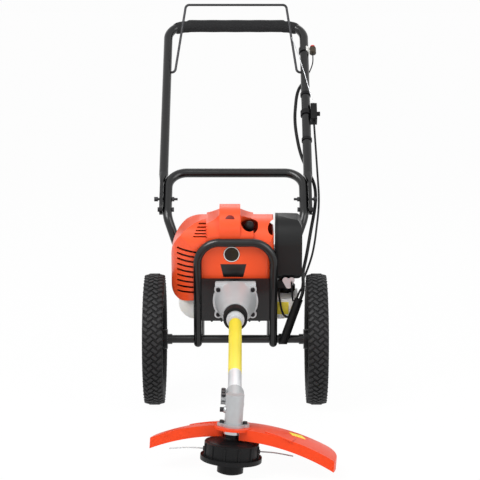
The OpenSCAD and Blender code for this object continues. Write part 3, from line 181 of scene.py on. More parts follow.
class Shader(Graph):
    """A material with a Principled surface."""

    def __init__(self, name: str) -> None:
        """Makes the material.

        Args:
            name: the material's name.
        """
        self.material = bpy.data.materials.new(name)
        self.material.use_nodes = True
        super().__init__(self.material.node_tree)
        self.surface = self.tree.nodes["Principled BSDF"]

    def place(self, scale: Point = (1.0, 1.0, 1.0), turn: Point = (0.0, 0.0, 0.0)) -> Field:
        """Object coordinates, turned and then scaled.

        Args:
            scale: factors along the turned axes.
            turn: angles in radians.

        Returns:
            The coordinates.
        """
        where = self.node("ShaderNodeTexCoord", {}, {}, "Object")
        turned = self.node("ShaderNodeMapping", {}, {"Vector": where, "Rotation": turn})
        return self.node("ShaderNodeMapping", {}, {"Vector": turned, "Scale": scale})

    def across(self) -> Field:
        """The place across the machine, in metres."""
        return self.node("ShaderNodeSeparateXYZ", {}, {0: self.place()}, 0)

    def noise(self, where: Field, scale: float, detail: float) -> Field:
        """A noise from zero to one, with so many spots to a metre and so many finer layers."""
        inputs = {"Vector": where, "Scale": scale, "Detail": detail, "Roughness": NOISE_ROUGHNESS}
        return self.node("ShaderNodeTexNoise", {}, inputs, "Fac")

    def cells(self, where: Field, scale: float) -> Field:
        """The distance to the middle of the nearest of some scattered cells, with so many to a metre."""
        return self.node("ShaderNodeTexVoronoi", {}, {"Vector": where, "Scale": scale}, "Distance")

    def mix(self, factor: Any, first: Any, second: Any) -> Field:
        """A colour between two colours or colour fields, with the second one's share as the factor."""
        colours = [(*c, 1.0) if isinstance(c, tuple) else c for c in (first, second)]
        return self.node("ShaderNodeMix", {"data_type": "RGBA"}, {0: factor, 6: colours[0], 7: colours[1]}, 2)

    def bump(self, height: Field, strength: float, distance: float) -> None:
        """Raises the surface by a height field, whose full height is the distance in metres."""
        inputs = {"Strength": strength, "Distance": distance, "Height": height}
        self.link(self.surface.inputs["Normal"], self.node("ShaderNodeBump", {}, inputs))

    def set(self, name: str, value: Any) -> None:
        """Sets or links one of the surface's sockets."""
        self.link(self.surface.inputs[name], value)


@dataclass(frozen=True)
class Pattern:
    """The noises of one kind of surface."""

    broad: Pair  # the spots to a metre of the slow changes, and their finer layers
    fine: Pair  # the same for the spots of wear; a brushed surface stretches them, and foam has its pores instead
    bump: float  # the share of the grain's height that shows


PATTERNS: Dict[Texture, Pattern] = {
    Texture.PAINT: Pattern((22.0, 3.0), (700.0, 4.0), 0.25),
    Texture.MOULDED: Pattern((14.0, 4.0), (420.0, 5.0), 0.35),
    Texture.CAST: Pattern((40.0, 4.0), (900.0, 4.0), 0.5),
    Texture.BRUSHED: Pattern((18.0, 3.0), (1500.0, 3.0), 0.3),
    Texture.RUBBER: Pattern((30.0, 5.0), (600.0, 4.0), 0.5),
    Texture.FOAM: Pattern((35.0, 4.0), (0.0, 0.0), 0.9),
    Texture.MILKY: Pattern((12.0, 3.0), (260.0, 4.0), 0.2),
}


@dataclass(frozen=True)
class Finish:
    """One finish of the machine, and how its surface is made."""

    name: str  # the material's name
    texture: Texture  # the kind of surface
    colour: Colour  # the base colour
    rough: float  # the mean roughness
    metal: float = 0.0  # how metallic it is
    coat: float = 0.0  # the strength of a clear coat
    worn: Colour = (0.5, 0.48, 0.45)  # the colour of worn or dusty spots
    wear: float = 0.08  # the share of those spots in the colour
    grain: float = 0.0008  # the size of the surface's grain, in metres
    relief: float = 0.00004  # the height of the grain, in metres
    along: float = 0.0  # the slope of a brushed grain above the Y axis
    gloss: float = 0.5  # the strength of plain reflections
    # places across the machine, in metres, where the colour changes, each with the colour beyond it
    bands: Tuple[Tuple[float, Colour], ...] = ()

    def build(self) -> bpy.types.Material:
        """Makes the material.

        Returns:
            The finished material.
        """
        shader = Shader(self.name)
        shader.set("Metallic", self.metal)
        shader.set("Coat Weight", self.coat)
        shader.set("Coat Roughness", COAT_ROUGHNESS)
        shader.set("Specular IOR Level", self.gloss)
        if self.texture is Texture.MILKY:
            shader.set("Subsurface Weight", MILK_SHARE)
            shader.set("Subsurface Radius", MILK_RADIUS)
        where = shader.place()
        pattern = PATTERNS[self.texture]
        broad = shader.noise(where, *pattern.broad)
        fine = self._fine(shader, where)
        self._tint(shader, broad, fine)
        shader.bump(self._height(shader, where, broad, fine), pattern.bump, self.relief)
        return shader.material

    def _fine(self, shader: Shader, where: Field) -> Field:
        """The fine pattern: pores in foam, long lines on brushed metal and spots elsewhere.

        Args:
            shader: the material.
            where: the coordinates.

        Returns:
            A value from zero to about one.
        """
        if self.texture is Texture.FOAM:
            return shader.cells(where, 1.0 / self.grain)
        if self.texture is Texture.BRUSHED:
            where = shader.place(BRUSH_STRETCH, (-self.along, 0.0, 0.0))
        return shader.noise(where, *PATTERNS[self.texture].fine)

    def _height(self, shader: Shader, where: Field, broad: Field, fine: Field) -> Field:
        """The height of the grain.

        Args:
            shader: the material.
            where: the coordinates.
            broad: the coarse noise.
            fine: the fine pattern.

        Returns:
            A height from zero to about one.
        """
        pitch = 1.0 / self.grain
        heights: Dict[Texture, Callable[[], Field]] = {
            Texture.PAINT: lambda: shader.noise(where, pitch, 1.0),
            Texture.MOULDED: lambda: shader.cells(where, pitch) * 0.6 + shader.noise(where, 0.6 * pitch, 3.0) * 0.4,
            Texture.CAST: lambda: shader.cells(where, pitch) * 0.5 + fine * 0.5,
            Texture.RUBBER: lambda: shader.noise(where, pitch, 4.0),
            Texture.FOAM: lambda: fine + broad * 0.4,
        }
        return heights.get(self.texture, lambda: fine)()

    def _tint(self, shader: Shader, broad: Field, fine: Field) -> None:
        """Colours the surface and sets its roughness.

        Args:
            shader: the material.
            broad: a coarse noise for slow changes.
            fine: a fine pattern for spots of wear.
        """
        shade = tuple(c * SHADE for c in self.colour)
        base = shader.mix(broad, shade, self.colour)
        for start, colour in self.bands:
            base = shader.mix(shader.across().above(start), base, colour)
        spots = shader.node("ShaderNodeClamp", {}, {"Value": (fine - WEAR_START) * WEAR_EDGE * self.wear})
        shader.set("Base Color", shader.mix(spots, base, self.worn))
        shader.set("Roughness", (broad - 0.5) * BROAD_SWING + (fine - 0.5) * FINE_SWING + self.rough)


SHAFT_SLOPE = math.radians(10.0)
DARK: Colour = (0.08, 0.08, 0.08)
PALE_ORANGE: Colour = (0.95, 0.35, 0.2)

FINISHES: Dict[str, Finish] = {
    finish.name: finish
    for finish in (
        Finish("frame_gloss", Texture.PAINT, (0.004, 0.004, 0.0045), 0.3, coat=0.3, worn=DARK, wear=0.03,
               grain=0.002, relief=0.00006, gloss=0.3),
        Finish("zinc_steel", Texture.BRUSHED, (0.62, 0.63, 0.65), 0.3, metal=1.0, relief=0.00002),
        Finish("dark_steel", Texture.CAST, (0.03, 0.03, 0.033), 0.4, metal=0.6, worn=(0.2, 0.2, 0.2), grain=0.0006),
        Finish("cast_alloy", Texture.CAST, (0.46, 0.47, 0.48), 0.4, metal=0.6, worn=(0.25, 0.25, 0.26), wear=0.25,
               grain=0.0012, relief=0.0001),
        Finish("bell_alloy", Texture.CAST, (0.56, 0.57, 0.58), 0.46, metal=0.3, worn=(0.4, 0.4, 0.41), wear=0.25,
               grain=0.0012, relief=0.0001),
        Finish("shaft_alloy", Texture.BRUSHED, (0.8, 0.81, 0.83), 0.34, metal=0.6, worn=(0.4, 0.4, 0.42), wear=0.12,
               relief=0.00002, along=SHAFT_SLOPE),
        Finish("tyre_rubber", Texture.RUBBER, (0.006, 0.006, 0.0065), 0.7, worn=DARK, wear=0.15, grain=0.0011,
               relief=0.0002, gloss=0.2),
        # painted highlight: the tread is the carcass's rubber made a little lighter, for the light that the lugs catch
        Finish("tread_highlight_rubber", Texture.RUBBER, (0.01, 0.01, 0.011), 0.64, worn=DARK, wear=0.2, grain=0.0011,
               relief=0.0002, gloss=0.4),
        Finish("black_rubber", Texture.RUBBER, (0.006, 0.006, 0.0065), 0.55, worn=DARK, wear=0.1, grain=0.0015,
               gloss=0.2),
        Finish("black_plastic", Texture.MOULDED, (0.005, 0.005, 0.0055), 0.42, worn=DARK, wear=0.05, grain=0.0007,
               gloss=0.18),
        Finish("orange_shell", Texture.MOULDED, (0.86, 0.085, 0.02), 0.34, coat=0.12, worn=PALE_ORANGE, wear=0.05,
               grain=0.003, relief=0.00005, gloss=0.35),
        Finish("orange_guard", Texture.MOULDED, (0.78, 0.052, 0.006), 0.4, coat=0.03, worn=PALE_ORANGE, wear=0.05,
               grain=0.002, relief=0.00006, gloss=0.2),
        Finish("grey_shell", Texture.MOULDED, (0.008, 0.0082, 0.0085), 0.34, worn=DARK, wear=0.06, grain=0.0009,
               relief=0.00007, gloss=0.25),
        Finish("white_plastic", Texture.MOULDED, (0.78, 0.78, 0.75), 0.4),
        # the switch is black, with a pale band across it that is a painted highlight on its clamp, and a dark brown
        # band beyond it
        Finish("switch_shell_and_highlight", Texture.MOULDED, (0.009, 0.009, 0.01), 0.42, worn=DARK, gloss=0.4,
               bands=((0.1795, (0.75, 0.75, 0.72)), (0.1895, (0.035, 0.024, 0.012)))),
        Finish("tank_milky", Texture.MILKY, (0.93, 0.93, 0.9), 0.4, worn=(0.85, 0.85, 0.8), grain=0.002),
        Finish("red_plastic", Texture.MOULDED, (0.6, 0.02, 0.015), 0.3, coat=0.3),
        # painted shade: the dark red that stands for the shade in the hollow of the tongue's recess
        Finish("recess_shade_red", Texture.MOULDED, (0.16, 0.008, 0.006), 0.5, worn=DARK, gloss=0.3),
        Finish("fuel_hose", Texture.RUBBER, (0.75, 0.55, 0.12), 0.35, grain=0.002),
        Finish("grip_foam", Texture.FOAM, (0.011, 0.011, 0.012), 0.82, worn=(0.05, 0.05, 0.05), wear=0.3,
               grain=0.0014, relief=0.0004, gloss=0.3),
        Finish("line_nylon", Texture.MILKY, (0.52, 0.52, 0.53), 0.35, worn=(0.3, 0.3, 0.3), grain=0.001),
        Finish("rope_braid", Texture.RUBBER, (0.03, 0.03, 0.03), 0.8, grain=0.0012, relief=0.0004),
        Finish("bush_bronze", Texture.CAST, (0.5, 0.36, 0.18), 0.4, metal=0.9),
        Finish("label_yellow", Texture.MOULDED, (0.95, 0.78, 0.045), 0.38, coat=0.15, worn=(0.6, 0.5, 0.15),
               grain=0.004, relief=0.00002),
        Finish("label_black", Texture.MOULDED, (0.008, 0.008, 0.008), 0.32, coat=0.2, worn=DARK, grain=0.004,
               relief=0.00002, gloss=0.3),
        Finish("label_white", Texture.MOULDED, (0.8, 0.8, 0.8), 0.35, coat=0.2, worn=(0.6, 0.6, 0.6), grain=0.004,
               relief=0.00002),
    )
}

NODE_FINISH: Dict[str, str] = {
    "guard": "orange_guard", "stop_switch": "switch_shell_and_highlight", "clutch_housing": "bell_alloy",
}
SLOT_FINISH: Dict[str, str] = {
    "frame_paint": "frame_gloss",
    "orange_plastic": "orange_shell",
    "grey_plastic": "grey_shell",
    "tank_plastic": "tank_milky",
    "foam": "grip_foam",
}


@lru_cache(maxsize=None)
def material(name: str) -> bpy.types.Material:
    """The material of a finish, made when it is first asked for."""
    return FINISHES[name].build()


def dress(piece: Piece, name: str) -> None:
    """Gives a piece one finish all over.

    Args:
        piece: the piece.
        name: the finish's name.
    """
    if not piece.material_slots:
        piece.data.materials.append(None)
    for place in piece.material_slots:
        place.material = material(name)


def move(across: float, along: float, up: float) -> Matrix:
    """A move by some millimetres."""
    return Matrix.Translation(Vector((across, along, up)) * MM)


def rotation(angle: float, axis: str) -> Matrix:
    """A turn about an axis by an angle in radians."""
    return Matrix.Rotation(angle, 4, axis)


@dataclass(frozen=True)
class Layout:
    """Where the machine's own directions lie in the frame."""

    axle_y: float = 54.408  # the axle's place along the machine
    axle_z: float = 152.5  # the axle's height
    reach: float = 650.0  # the distance from the axle forward to the gears
    apex_z: float = 141.806  # the height of the gears' crossing point
    engine_s: float = 628.482  # the place of the engine plate along the shaft
    roll: float = math.radians(4.0)  # the angle of the head round the shaft
    bend: Pair = (140.0, 424.0)  # the place of the frame's bend behind the axle and above the ground
    rake: float = math.radians(45.0)  # the slope of the handle
    leg_x: float = 175.0  # the place of a handle's leg across the machine

    def shaft(self) -> Matrix:
        """A frame whose Y runs back along the shaft from the gears."""
        return move(0.0, self.axle_y - self.reach, self.apex_z) @ rotation(SHAFT_SLOPE, "X")

    def engine(self) -> Matrix:
        """A frame whose Y runs back from the engine plate."""
        return self.shaft() @ move(0.0, self.engine_s, 0.0)

    def head(self) -> Matrix:
        """A frame whose Z is the cutting head's axis."""
        return self.shaft() @ rotation(self.roll, "Y") @ rotation(-SHAFT_SLOPE, "X")

    def handle(self) -> Matrix:
        """A frame whose Y runs up the handle from its bend."""
        return move(0.0, self.axle_y + self.bend[0], self.bend[1]) @ rotation(self.rake, "X")

    def face(self, across: float, behind: float, up: float) -> Matrix:
        """A frame on a face of the engine that looks forward, whose Z runs out of it and whose Y runs up it."""
        return self.engine() @ move(across, behind, up) @ rotation(QUARTER, "X")

    def ground(self, spot: Point) -> Vector:
        """A place, in metres, that is given across, behind the axle and up from the ground."""
        return Vector((spot[0], spot[1] + self.axle_y, spot[2])) * MM

    def beside_leg(self, spot: Point) -> Vector:
        """A place, in metres, that is given outwards from the handle's right leg, up it and off its plane."""
        return self.handle() @ (Vector((spot[0] + self.leg_x, spot[1], spot[2])) * MM)


LAYOUT = Layout()
SHARP = 0.9  # the angle, in radians, over which an edge of a tube or a panel is sharp


class Bench:
    """Modelling steps with Blender's own operators."""

    @staticmethod
    def clear() -> None:
        """Deselects everything in object mode."""
        if bpy.context.mode != "OBJECT":
            Bench.done()
        bpy.ops.object.select_all(action="DESELECT")

    @staticmethod
    def done() -> None:
        """Goes back to object mode."""
        bpy.ops.object.mode_set(mode="OBJECT")

    @staticmethod
    def add(name: str, data: bpy.types.ID) -> Piece:
        """Puts a new object in the scene.

        Args:
            name: the object's name.
            data: its mesh, curve, lamp or camera.

        Returns:
            The object.
        """
        made = bpy.data.objects.new(name, data)
        bpy.context.scene.collection.objects.link(made)
        return made

    @staticmethod
    def take(piece: Piece) -> None:
        """Selects one piece and makes it active.

        Args:
            piece: the piece.
        """
        Bench.clear()
        piece.select_set(True)
        bpy.context.view_layer.objects.active = piece

    @staticmethod
    def edit(piece: Piece, pick: Optional[Callable[[Vector], bool]] = None) -> None:
        """Opens a piece in edit mode with some of its corners selected.

        Args:
            piece: the piece.
            pick: says of a corner's place whether it is selected; all are where this is left out.
        """
        Bench.take(piece)
        bpy.ops.object.mode_set(mode="EDIT")
        bpy.ops.mesh.select_mode(type="VERT")
        bpy.ops.mesh.select_all(action="SELECT" if pick is None else "DESELECT")
        if pick is not None:
            Bench.done()
            for corner in piece.data.vertices:
                corner.select = pick(corner.co)
            bpy.ops.object.mode_set(mode="EDIT")

    @staticmethod
    def tidy(piece: Piece, angle: float = 0.6) -> None:
        """Merges doubled corners, turns the faces outwards and shades the piece smooth but for its sharp edges.

        Args:
            piece: the piece.
            angle: edges sharper than this stay sharp.
        """
        Bench.edit(piece)
        bpy.ops.mesh.remove_doubles(threshold=0.01 * MM)
        bpy.ops.mesh.normals_make_consistent(inside=False)
        Bench.done()
        bpy.ops.object.shade_smooth_by_angle(angle=angle)

    @staticmethod
    def soften(piece: Piece, bevel: float) -> None:
        """Bevels all of a piece's edges.

        Args:
            piece: the piece.
            bevel: the width of the bevel.
        """
        Bench.edit(piece)
        bpy.ops.mesh.bevel(offset=bevel * MM, segments=2, affect="EDGES")
        Bench.done()

    @staticmethod
    def lathe(
        name: str, points: Outline, place: Matrix, steps: int = 64, angle: float = math.tau
    ) -> Piece:
        """Spins an outline about Z and puts the result in its place.

        Args:
            name: the piece's name.
            points: radius and height of each corner.
            place: where the turned piece goes.
            steps: the number of sides.
            angle: how far the outline is spun.

        Returns:
            The turned piece.
        """
        mesh = bpy.data.meshes.new(name)
        corners = [(r * MM, 0.0, h * MM) for r, h in points]
        mesh.from_pydata(corners, [(i, i + 1) for i in range(len(corners) - 1)], [])
        piece = Bench.add(name, mesh)
        Bench.edit(piece)
        bpy.ops.mesh.spin(steps=steps, angle=angle, center=(0, 0, 0), axis=(0, 0, 1))
        Bench.done()
        mesh.transform(place)
        Bench.tidy(piece)
        return piece

    @staticmethod
    def block(name: str, size: Point, bevel: float, taper: float = 1.0) -> Piece:
        """A block about the origin with bevelled edges.

        Args:
            name: the piece's name.
            size: width, depth and height.
            bevel: the width of the bevel.
            taper: the width of the near end as a share of the far end's.

        Returns:
            The new block.
        """
        Bench.clear()
        bpy.ops.mesh.primitive_cube_add(size=1.0)
        piece = bpy.context.active_object
        piece.name = piece.data.name = name
        piece.scale = [s * MM for s in size]
        bpy.ops.object.transform_apply(location=False, rotation=False, scale=True)
        if taper != 1.0:
            Bench.edit(piece, lambda spot: spot.y < 0.0)
            bpy.ops.transform.resize(value=(taper, 1.0, 1.0), center_override=(0.0, 0.0, 0.0))
        Bench.soften(piece, bevel)
        return piece

    @staticmethod
    def copies(name: str, model: Piece, places: Iterable[Matrix]) -> Piece:
        """Copies a model to many places and joins the copies.

        Args:
            name: the joined piece's name.
            model: what is copied; it is removed afterwards.
            places: where each copy goes.

        Returns:
            The joined piece.
        """
        made: List[Piece] = []
        for place in places:
            made.append(Bench.add(name, model.data.copy()))
            made[-1].data.transform(place)
        Bench.clear()
        for twin in made:
            twin.select_set(True)
        bpy.context.view_layer.objects.active = made[0]
        bpy.ops.object.join()
        bpy.data.objects.remove(model)
        made[0].name = made[0].data.name = name
        return made[0]

    @staticmethod
    def tube(name: str, points: Sequence[Vector], widths: Sequence[float], sides: int = 16) -> Piece:
        """A round tube along a line: a bevelled curve that is turned into a mesh.

        Args:
            name: the piece's name.
            points: the line's points, in metres.
            widths: the tube's diameter at each point, or one for all.
            sides: the number of sides.

        Returns:
            A closed tube.
        """
        curve = bpy.data.curves.new(name, "CURVE")
        curve.dimensions = "3D"
        curve.bevel_depth = MM / 2
        curve.bevel_resolution = max(sides // 2 - 2, 0)
        curve.use_fill_caps = True
        line = curve.splines.new("POLY")
        line.points.add(len(points) - 1)
        for i, spot in enumerate(points):
            line.points[i].co = (*spot, 1.0)
            line.points[i].radius = widths[min(i, len(widths) - 1)]
        Bench.take(Bench.add(name, curve))
        bpy.ops.object.convert(target="MESH")
        piece = bpy.context.active_object
        piece.data.name = name
        Bench.tidy(piece, SHARP)
        return piece


class Route:
    """Lines for cords and cables to follow."""

    @staticmethod
    def through(points: Sequence[Vector], steps: int) -> List[Vector]:
        """Rounds a line with a curve that passes through its points.

        Args:
            points: the points.
            steps: the number of steps between two of them.

        Returns:
            The finer line.
        """
        ends = [points[0] * 2 - points[1], *points, points[-1] * 2 - points[-2]]
        route: List[Vector] = []
        for i in range(1, len(ends) - 2):
            a, b, c, d = ends[i - 1 : i + 3]
            bend, twist = 2 * a - 5 * b + 4 * c - d, 3 * b - a - 3 * c + d
            for k in range(steps):
                t = k / steps
                route.append(0.5 * (2 * b + (c - a) * t + bend * t**2 + twist * t**3))
        return [*route, points[-1].copy()]

    @staticmethod
    def rounded(points: Sequence[Vector], cut: float, steps: int = 8, most: float = 0.48) -> List[Vector]:
        """Rounds the corners of a line.

        Args:
            points: the line's corners.
            cut: how far from a corner its rounding starts, in metres.
            steps: the number of steps round a corner.
            most: the largest share of a side that a rounding takes.

        Returns:
            The finer line.
        """
        route: List[Vector] = [points[0].copy()]
        for before, corner, after in zip(points, points[1:], points[2:]):
            first, last = [
                (end - corner).normalized() * min(cut, (end - corner).length * most) + corner for end in (before, after)
            ]
            for k in range(steps + 1):
                t = k / steps
                route.append(first * (1 - t) ** 2 + corner * 2 * t * (1 - t) + last * t**2)
        return [*route, points[-1].copy()]

    @staticmethod
    def length(points: Sequence[Vector]) -> float:
        """How long a line through some points is."""
        return sum((b - a).length for a, b in zip(points, points[1:]))


def keep(piece: Piece, finish: str, slot: str, *nodes: str, body: str = "chassis") -> None:
    """Dresses a finished piece and puts it on its body.

    Args:
        piece: the piece.
        finish: the finish's name.
        slot: the record's material slot; it is not used.
        nodes: the solids that it stands for.
        body: the body that it moves with.
    """
    dress(piece, finish)
    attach(piece, body)
    if nodes:
        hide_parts(*nodes)
    LOG.info("%s: %d faces", piece.name, len(piece.data.polygons))


@dataclass
class Studio:
    """The camera, the floor and the light."""

    distance: float = 4.1074  # from the camera to the axle, in metres
    height: float = 0.9095  # of the camera, in metres
    azimuth: float = 0.156  # of the camera round the machine, in degrees
    lens: float = 134.47  # the focal length
    sensor: float = 36.0  # the width of the camera's sensor
    far: float = 2000.0  # how far the camera sees, in metres
    aim: Point = (0.0103, 0.0544, 0.3845)  # the point that the camera looks at
    floor: Pair = (1500.0, -0.0005)  # the floor's side and height, in metres
    white: float = 0.97  # the share of plain white in what the camera sees of the floor
    sky: float = 0.98  # the brightness of the sky where it is seen, which is the far floor's
    soft: float = 0.32  # its brightness as a light
    # each lamp's name, place and side in metres, and power in watts
    lamps: Tuple[Tuple[str, Point, float, float], ...] = (
        ("key", (-1.7, -2.2, 3.1), 2.2, 140.0),
        ("fill", (2.6, -2.4, 1.8), 2.6, 70.0),
        ("rim", (0.3, 2.8, 2.8), 2.2, 14.0),
    )
    middle: Point = (0.0, 0.0, 0.35)  # the point that the lamps face

    def build(self) -> None:
        """Sets up the whole studio."""
        self._camera()
        self._floor()
        self._sky()
        for lamp in self.lamps:
            self._lamp(*lamp)

    def _camera(self) -> None:
        """Puts the camera at the photograph's angle."""
        data = bpy.data.cameras.new("camera")
        data.lens = self.lens
        data.sensor_width = self.sensor
        data.clip_end = self.far
        camera = Bench.add("camera", data)
        turn = math.radians(self.azimuth)
        back = LAYOUT.axle_y * MM - self.distance * math.cos(turn)
        camera.location = (self.distance * math.sin(turn), back, self.height)
        camera.rotation_euler = (Vector(self.aim) - camera.location).to_track_quat("-Z", "Y").to_euler()
        bpy.context.scene.camera = camera

    def _floor(self) -> None:
        """A wide pale floor that looks white and keeps a soft shadow."""
        Bench.clear()
        bpy.ops.mesh.primitive_plane_add(size=self.floor[0], location=(0.0, 0.0, self.floor[1]))
        floor = bpy.context.active_object
        floor.name = floor.data.name = "floor"
        shader = Shader("floor_white")
        shader.set("Base Color", WHITE)
        shader.set("Roughness", 0.9)
        glow = shader.node("ShaderNodeEmission", {}, {"Color": WHITE, "Strength": 1.0})
        plain = Field(shader, shader.surface.outputs[0])
        both = shader.node("ShaderNodeMixShader", {}, {0: shader.seen() * self.white, 1: plain, 2: glow})
        shader.link(shader.tree.nodes["Material Output"].inputs["Surface"], both)
        floor.data.materials.append(shader.material)

    def _sky(self) -> None:
        """A sky that is white where it is seen and softer as a light."""
        world = bpy.data.worlds.new("studio")
        bpy.context.scene.world = world
        world.use_nodes = True
        graph = Graph(world.node_tree)
        soft = graph.node("ShaderNodeBackground", {}, {"Color": WHITE, "Strength": self.soft})
        white = graph.node("ShaderNodeBackground", {}, {"Color": WHITE, "Strength": self.sky})
        both = graph.node("ShaderNodeMixShader", {}, {0: graph.seen(), 1: soft, 2: white})
        graph.link(graph.tree.nodes["World Output"].inputs["Surface"], both)

    def _lamp(self, name: str, spot: Point, size: float, power: float) -> None:
        """One square lamp that faces the machine.

        Args:
            name: the lamp's name.
            spot: its place, in metres.
            size: its side, in metres.
            power: its power, in watts.
        """
        data = bpy.data.lights.new(name, "AREA")
        data.size = size
        data.energy = power
        lamp = Bench.add(name, data)
        lamp.location = spot
        lamp.rotation_euler = (Vector(self.middle) - Vector(spot)).to_track_quat("-Z", "Y").to_euler()


@dataclass
class CuttingLines:
    """The two bare ends of cutting line."""

    width: float = 2.7  # the line's diameter
    drop: float = 92.0  # the depth of the eyelets under the gears
    start: float = 56.5  # the distance of an eyelet's mouth from the head's axis
    # the line's points from the eyelet outwards
    route: Tuple[Point, ...] = (
        (0, 0, 0), (12, 0, 0), (30, 2, -1), (50, 5, -4), (66, 9, -7),
    )
    steps: int = 5  # the number of steps between two of them
    sides: int = 12  # the number of the line's sides

    def build(self) -> None:
        for side, node in ((-1, "line_left"), (1, "line_right")):
            points = [
                LAYOUT.head() @ Vector((side * (self.start + x) * MM, y * MM, (z - self.drop) * MM))
                for x, y, z in self.route
            ]
            route = Route.through(points, self.steps)
            piece = Bench.tube(node + "_strand", route, [self.width], self.sides)
            keep(piece, "line_nylon", "line_nylon", node, body="head")
            Route.length(route)


@dataclass
class Wheel:
    """One tyre with its herringbone tread."""

    side: int  # -1 for the left wheel, 1 for the right one
    radius: float = 152.5  # the tyre's outside radius
    width: float = 46.0  # the tyre's width
    bead: float = 108.5  # the radius of the rim's seat
    track: float = 375.0  # the distance between the tyres' middles
    steps: int = 96  # the number of sides round the tyre
    tread: float = 2.6  # how far the carcass lies under the tread's outside
    # the corners of a side wall, outwards from the bead and inwards from the tyre's face
    wall: Outline = ((0, 5), (3, 2), (8, 0.6), (9, 0), (13, 0), (14, 0.8), (26, 0.6), (27, 0))
    # the corners from there to the crown, inwards from the crown and from the tyre's face
    shoulder: Outline = ((11, 0), (6, 1.5), (2, 5), (0, 11))
    lugs: int = 58  # the number of blocks round one row of the tread
    lug: Point = (13.0, 6.6, 4.2)  # a block's length, width and height
    bevel: float = 0.9  # the width of its bevels
    slant: float = math.radians(38.0)  # the blocks' angle to the wheel's axis
    tip: float = math.radians(14.0)  # how far the outer rows tip outwards
    # each row's place across the tread, its lean, its phase, its fall below the outside and its tip
    rows: Tuple[Tuple[float, int, float, float, int], ...] = (
        (-16.2, 1, 0.0, 2.5, -1), (-5.4, -1, 0.5, 0.1, 0), (5.4, 1, 0.0, 0.1, 0), (16.2, -1, 0.5, 2.5, 1),
    )

    @property
    def body(self) -> str:
        """The name of the wheel's body."""
        return "left_wheel" if self.side < 0 else "right_wheel"

    @property
    def place(self) -> Matrix:
        """A frame at the wheel's middle whose Z runs along the axle and outwards."""
        centre = move(self.side * self.track / 2, LAYOUT.axle_y, LAYOUT.axle_z)
        return centre @ rotation(self.side * QUARTER, "Y")

    def build(self) -> None:
        """Makes the carcass and its tread."""
        name = self.body.replace("wheel", "tyre")
        carcass = Bench.lathe(name + "_carcass", self._outline(), self.place, self.steps)
        keep(carcass, "tyre_rubber", "tyre_rubber", name, body=self.body)
        tread = Bench.copies(name + "_tread", Bench.block("lug", self.lug, self.bevel), self._lug_places())
        # the tread's lighter rubber is a painted highlight on the lugs
        keep(tread, "tread_highlight_rubber", "tyre_rubber", body=self.body)

    def _outline(self) -> Outline:
        """The tyre's section with its two ridges on each wall.

        Returns:
            Corners from bead to bead, closed inside.
        """
        crown, half = self.radius - self.tread, self.width / 2
        right = [(self.bead + r, half - h) for r, h in self.wall]
        right += [(crown - r, half - h) for r, h in self.shoulder]
        left = [(r, -h) for r, h in reversed(right)]
        return [*right, *left, right[0]]

    def _lug_places(self) -> List[Matrix]:
        """Where each block of the tread goes.

        Returns:
            Four rows of places that slant to and fro.
        """
        places: List[Matrix] = []
        for offset, lean, phase, fall, tip in self.rows:
            lug = (
                move(self.radius - self.lug[2] / 2 - fall, 0.0, offset)
                @ rotation(QUARTER - tip * self.tip, "Y")
                @ rotation(lean * self.slant, "Z")
            )
            for i in range(self.lugs):
                places.append(self.place @ rotation(math.tau * (i + phase) / self.lugs, "Z") @ lug)
        return places


@dataclass
class Grip:
    """The foam sleeve on the handle's crossbar, which runs on into both bends."""

    reach: float = 631.0  # the distance of the crossbar up the handle
    straight: float = 130.0  # half of the crossbar's straight length
    bend: float = 45.0  # the radius of the handle's bends
    wrap: float = math.radians(38.0)  # how far the sleeve runs into a bend
    width: float = 32.0  # the sleeve's diameter
    end_width: float = 30.0  # its diameter in the bends
    sink: float = 3.0  # how far the bends' part lies under the tube's middle, so that the shut bail's arms clear it
    level: int = 120  # how far from the middle the sleeve is level
    step: int = 6  # the length of its steps there
    bends: int = 10  # the number of steps round a bend
    waves: Pair = (0.7, 19.0)  # the depth and the pitch of the soft waves along it
    ends: Tuple[float, ...] = (0.4, 1.8, 4.6)  # how much narrower its last rings are
    sides: int = 32  # the number of its sides
    softness: float = 0.9  # how soft it is, from zero to one

    def build(self) -> None:
        """Makes the sleeve with a soft swell and rounded ends."""
        half: List[Point] = [(x, self.reach, 0.0) for x in range(0, self.level + 1, self.step)]
        half.append((self.level + self.step, self.reach, -self.sink))
        for k in range(1, self.bends + 1):
            angle = self.wrap * k / self.bends
            half.append((
                self.straight + self.bend * math.sin(angle),
                self.reach - self.bend * (1 - math.cos(angle)),
                -self.sink,
            ))
        depth, pitch = self.waves
        level = [self.width - depth * math.sin(p[0] / pitch) ** 2 for p in half if p[0] <= self.level]
        widths = level + [self.end_width] * (len(half) - len(level))
        widths[-len(self.ends):] = [self.end_width - cut for cut in self.ends]
        line = [(-x, y, z) for x, y, z in reversed(half[1:])] + half
        place = LAYOUT.handle()
        points = [place @ (Vector(p) * MM) for p in line]
        sleeve = Bench.tube("foam_sleeve", points, [*reversed(widths[1:]), *widths], self.sides)
        keep(sleeve, "grip_foam", "foam", "foam_grip")


@dataclass(frozen=True)
class Fitting:
    """What the small pieces of trim have in common."""

    name: str  # the piece's name
    place: Matrix  # the frame that it is made in
    finish: str  # the finish's name
    slot: str  # the record's material slot


@dataclass(frozen=True)
class Turned(Fitting):
    """A round piece about its frame's Z."""

    outline: Outline  # radius and height of each corner of its section
    steps: int = 64  # the number of its sides
    body: str = "chassis"  # the body that it moves with

    def build(self) -> None:
        """Spins the outline and keeps the piece."""
        piece = Bench.lathe(self.name, self.outline, self.place, self.steps)
        keep(piece, self.finish, self.slot, body=self.body)


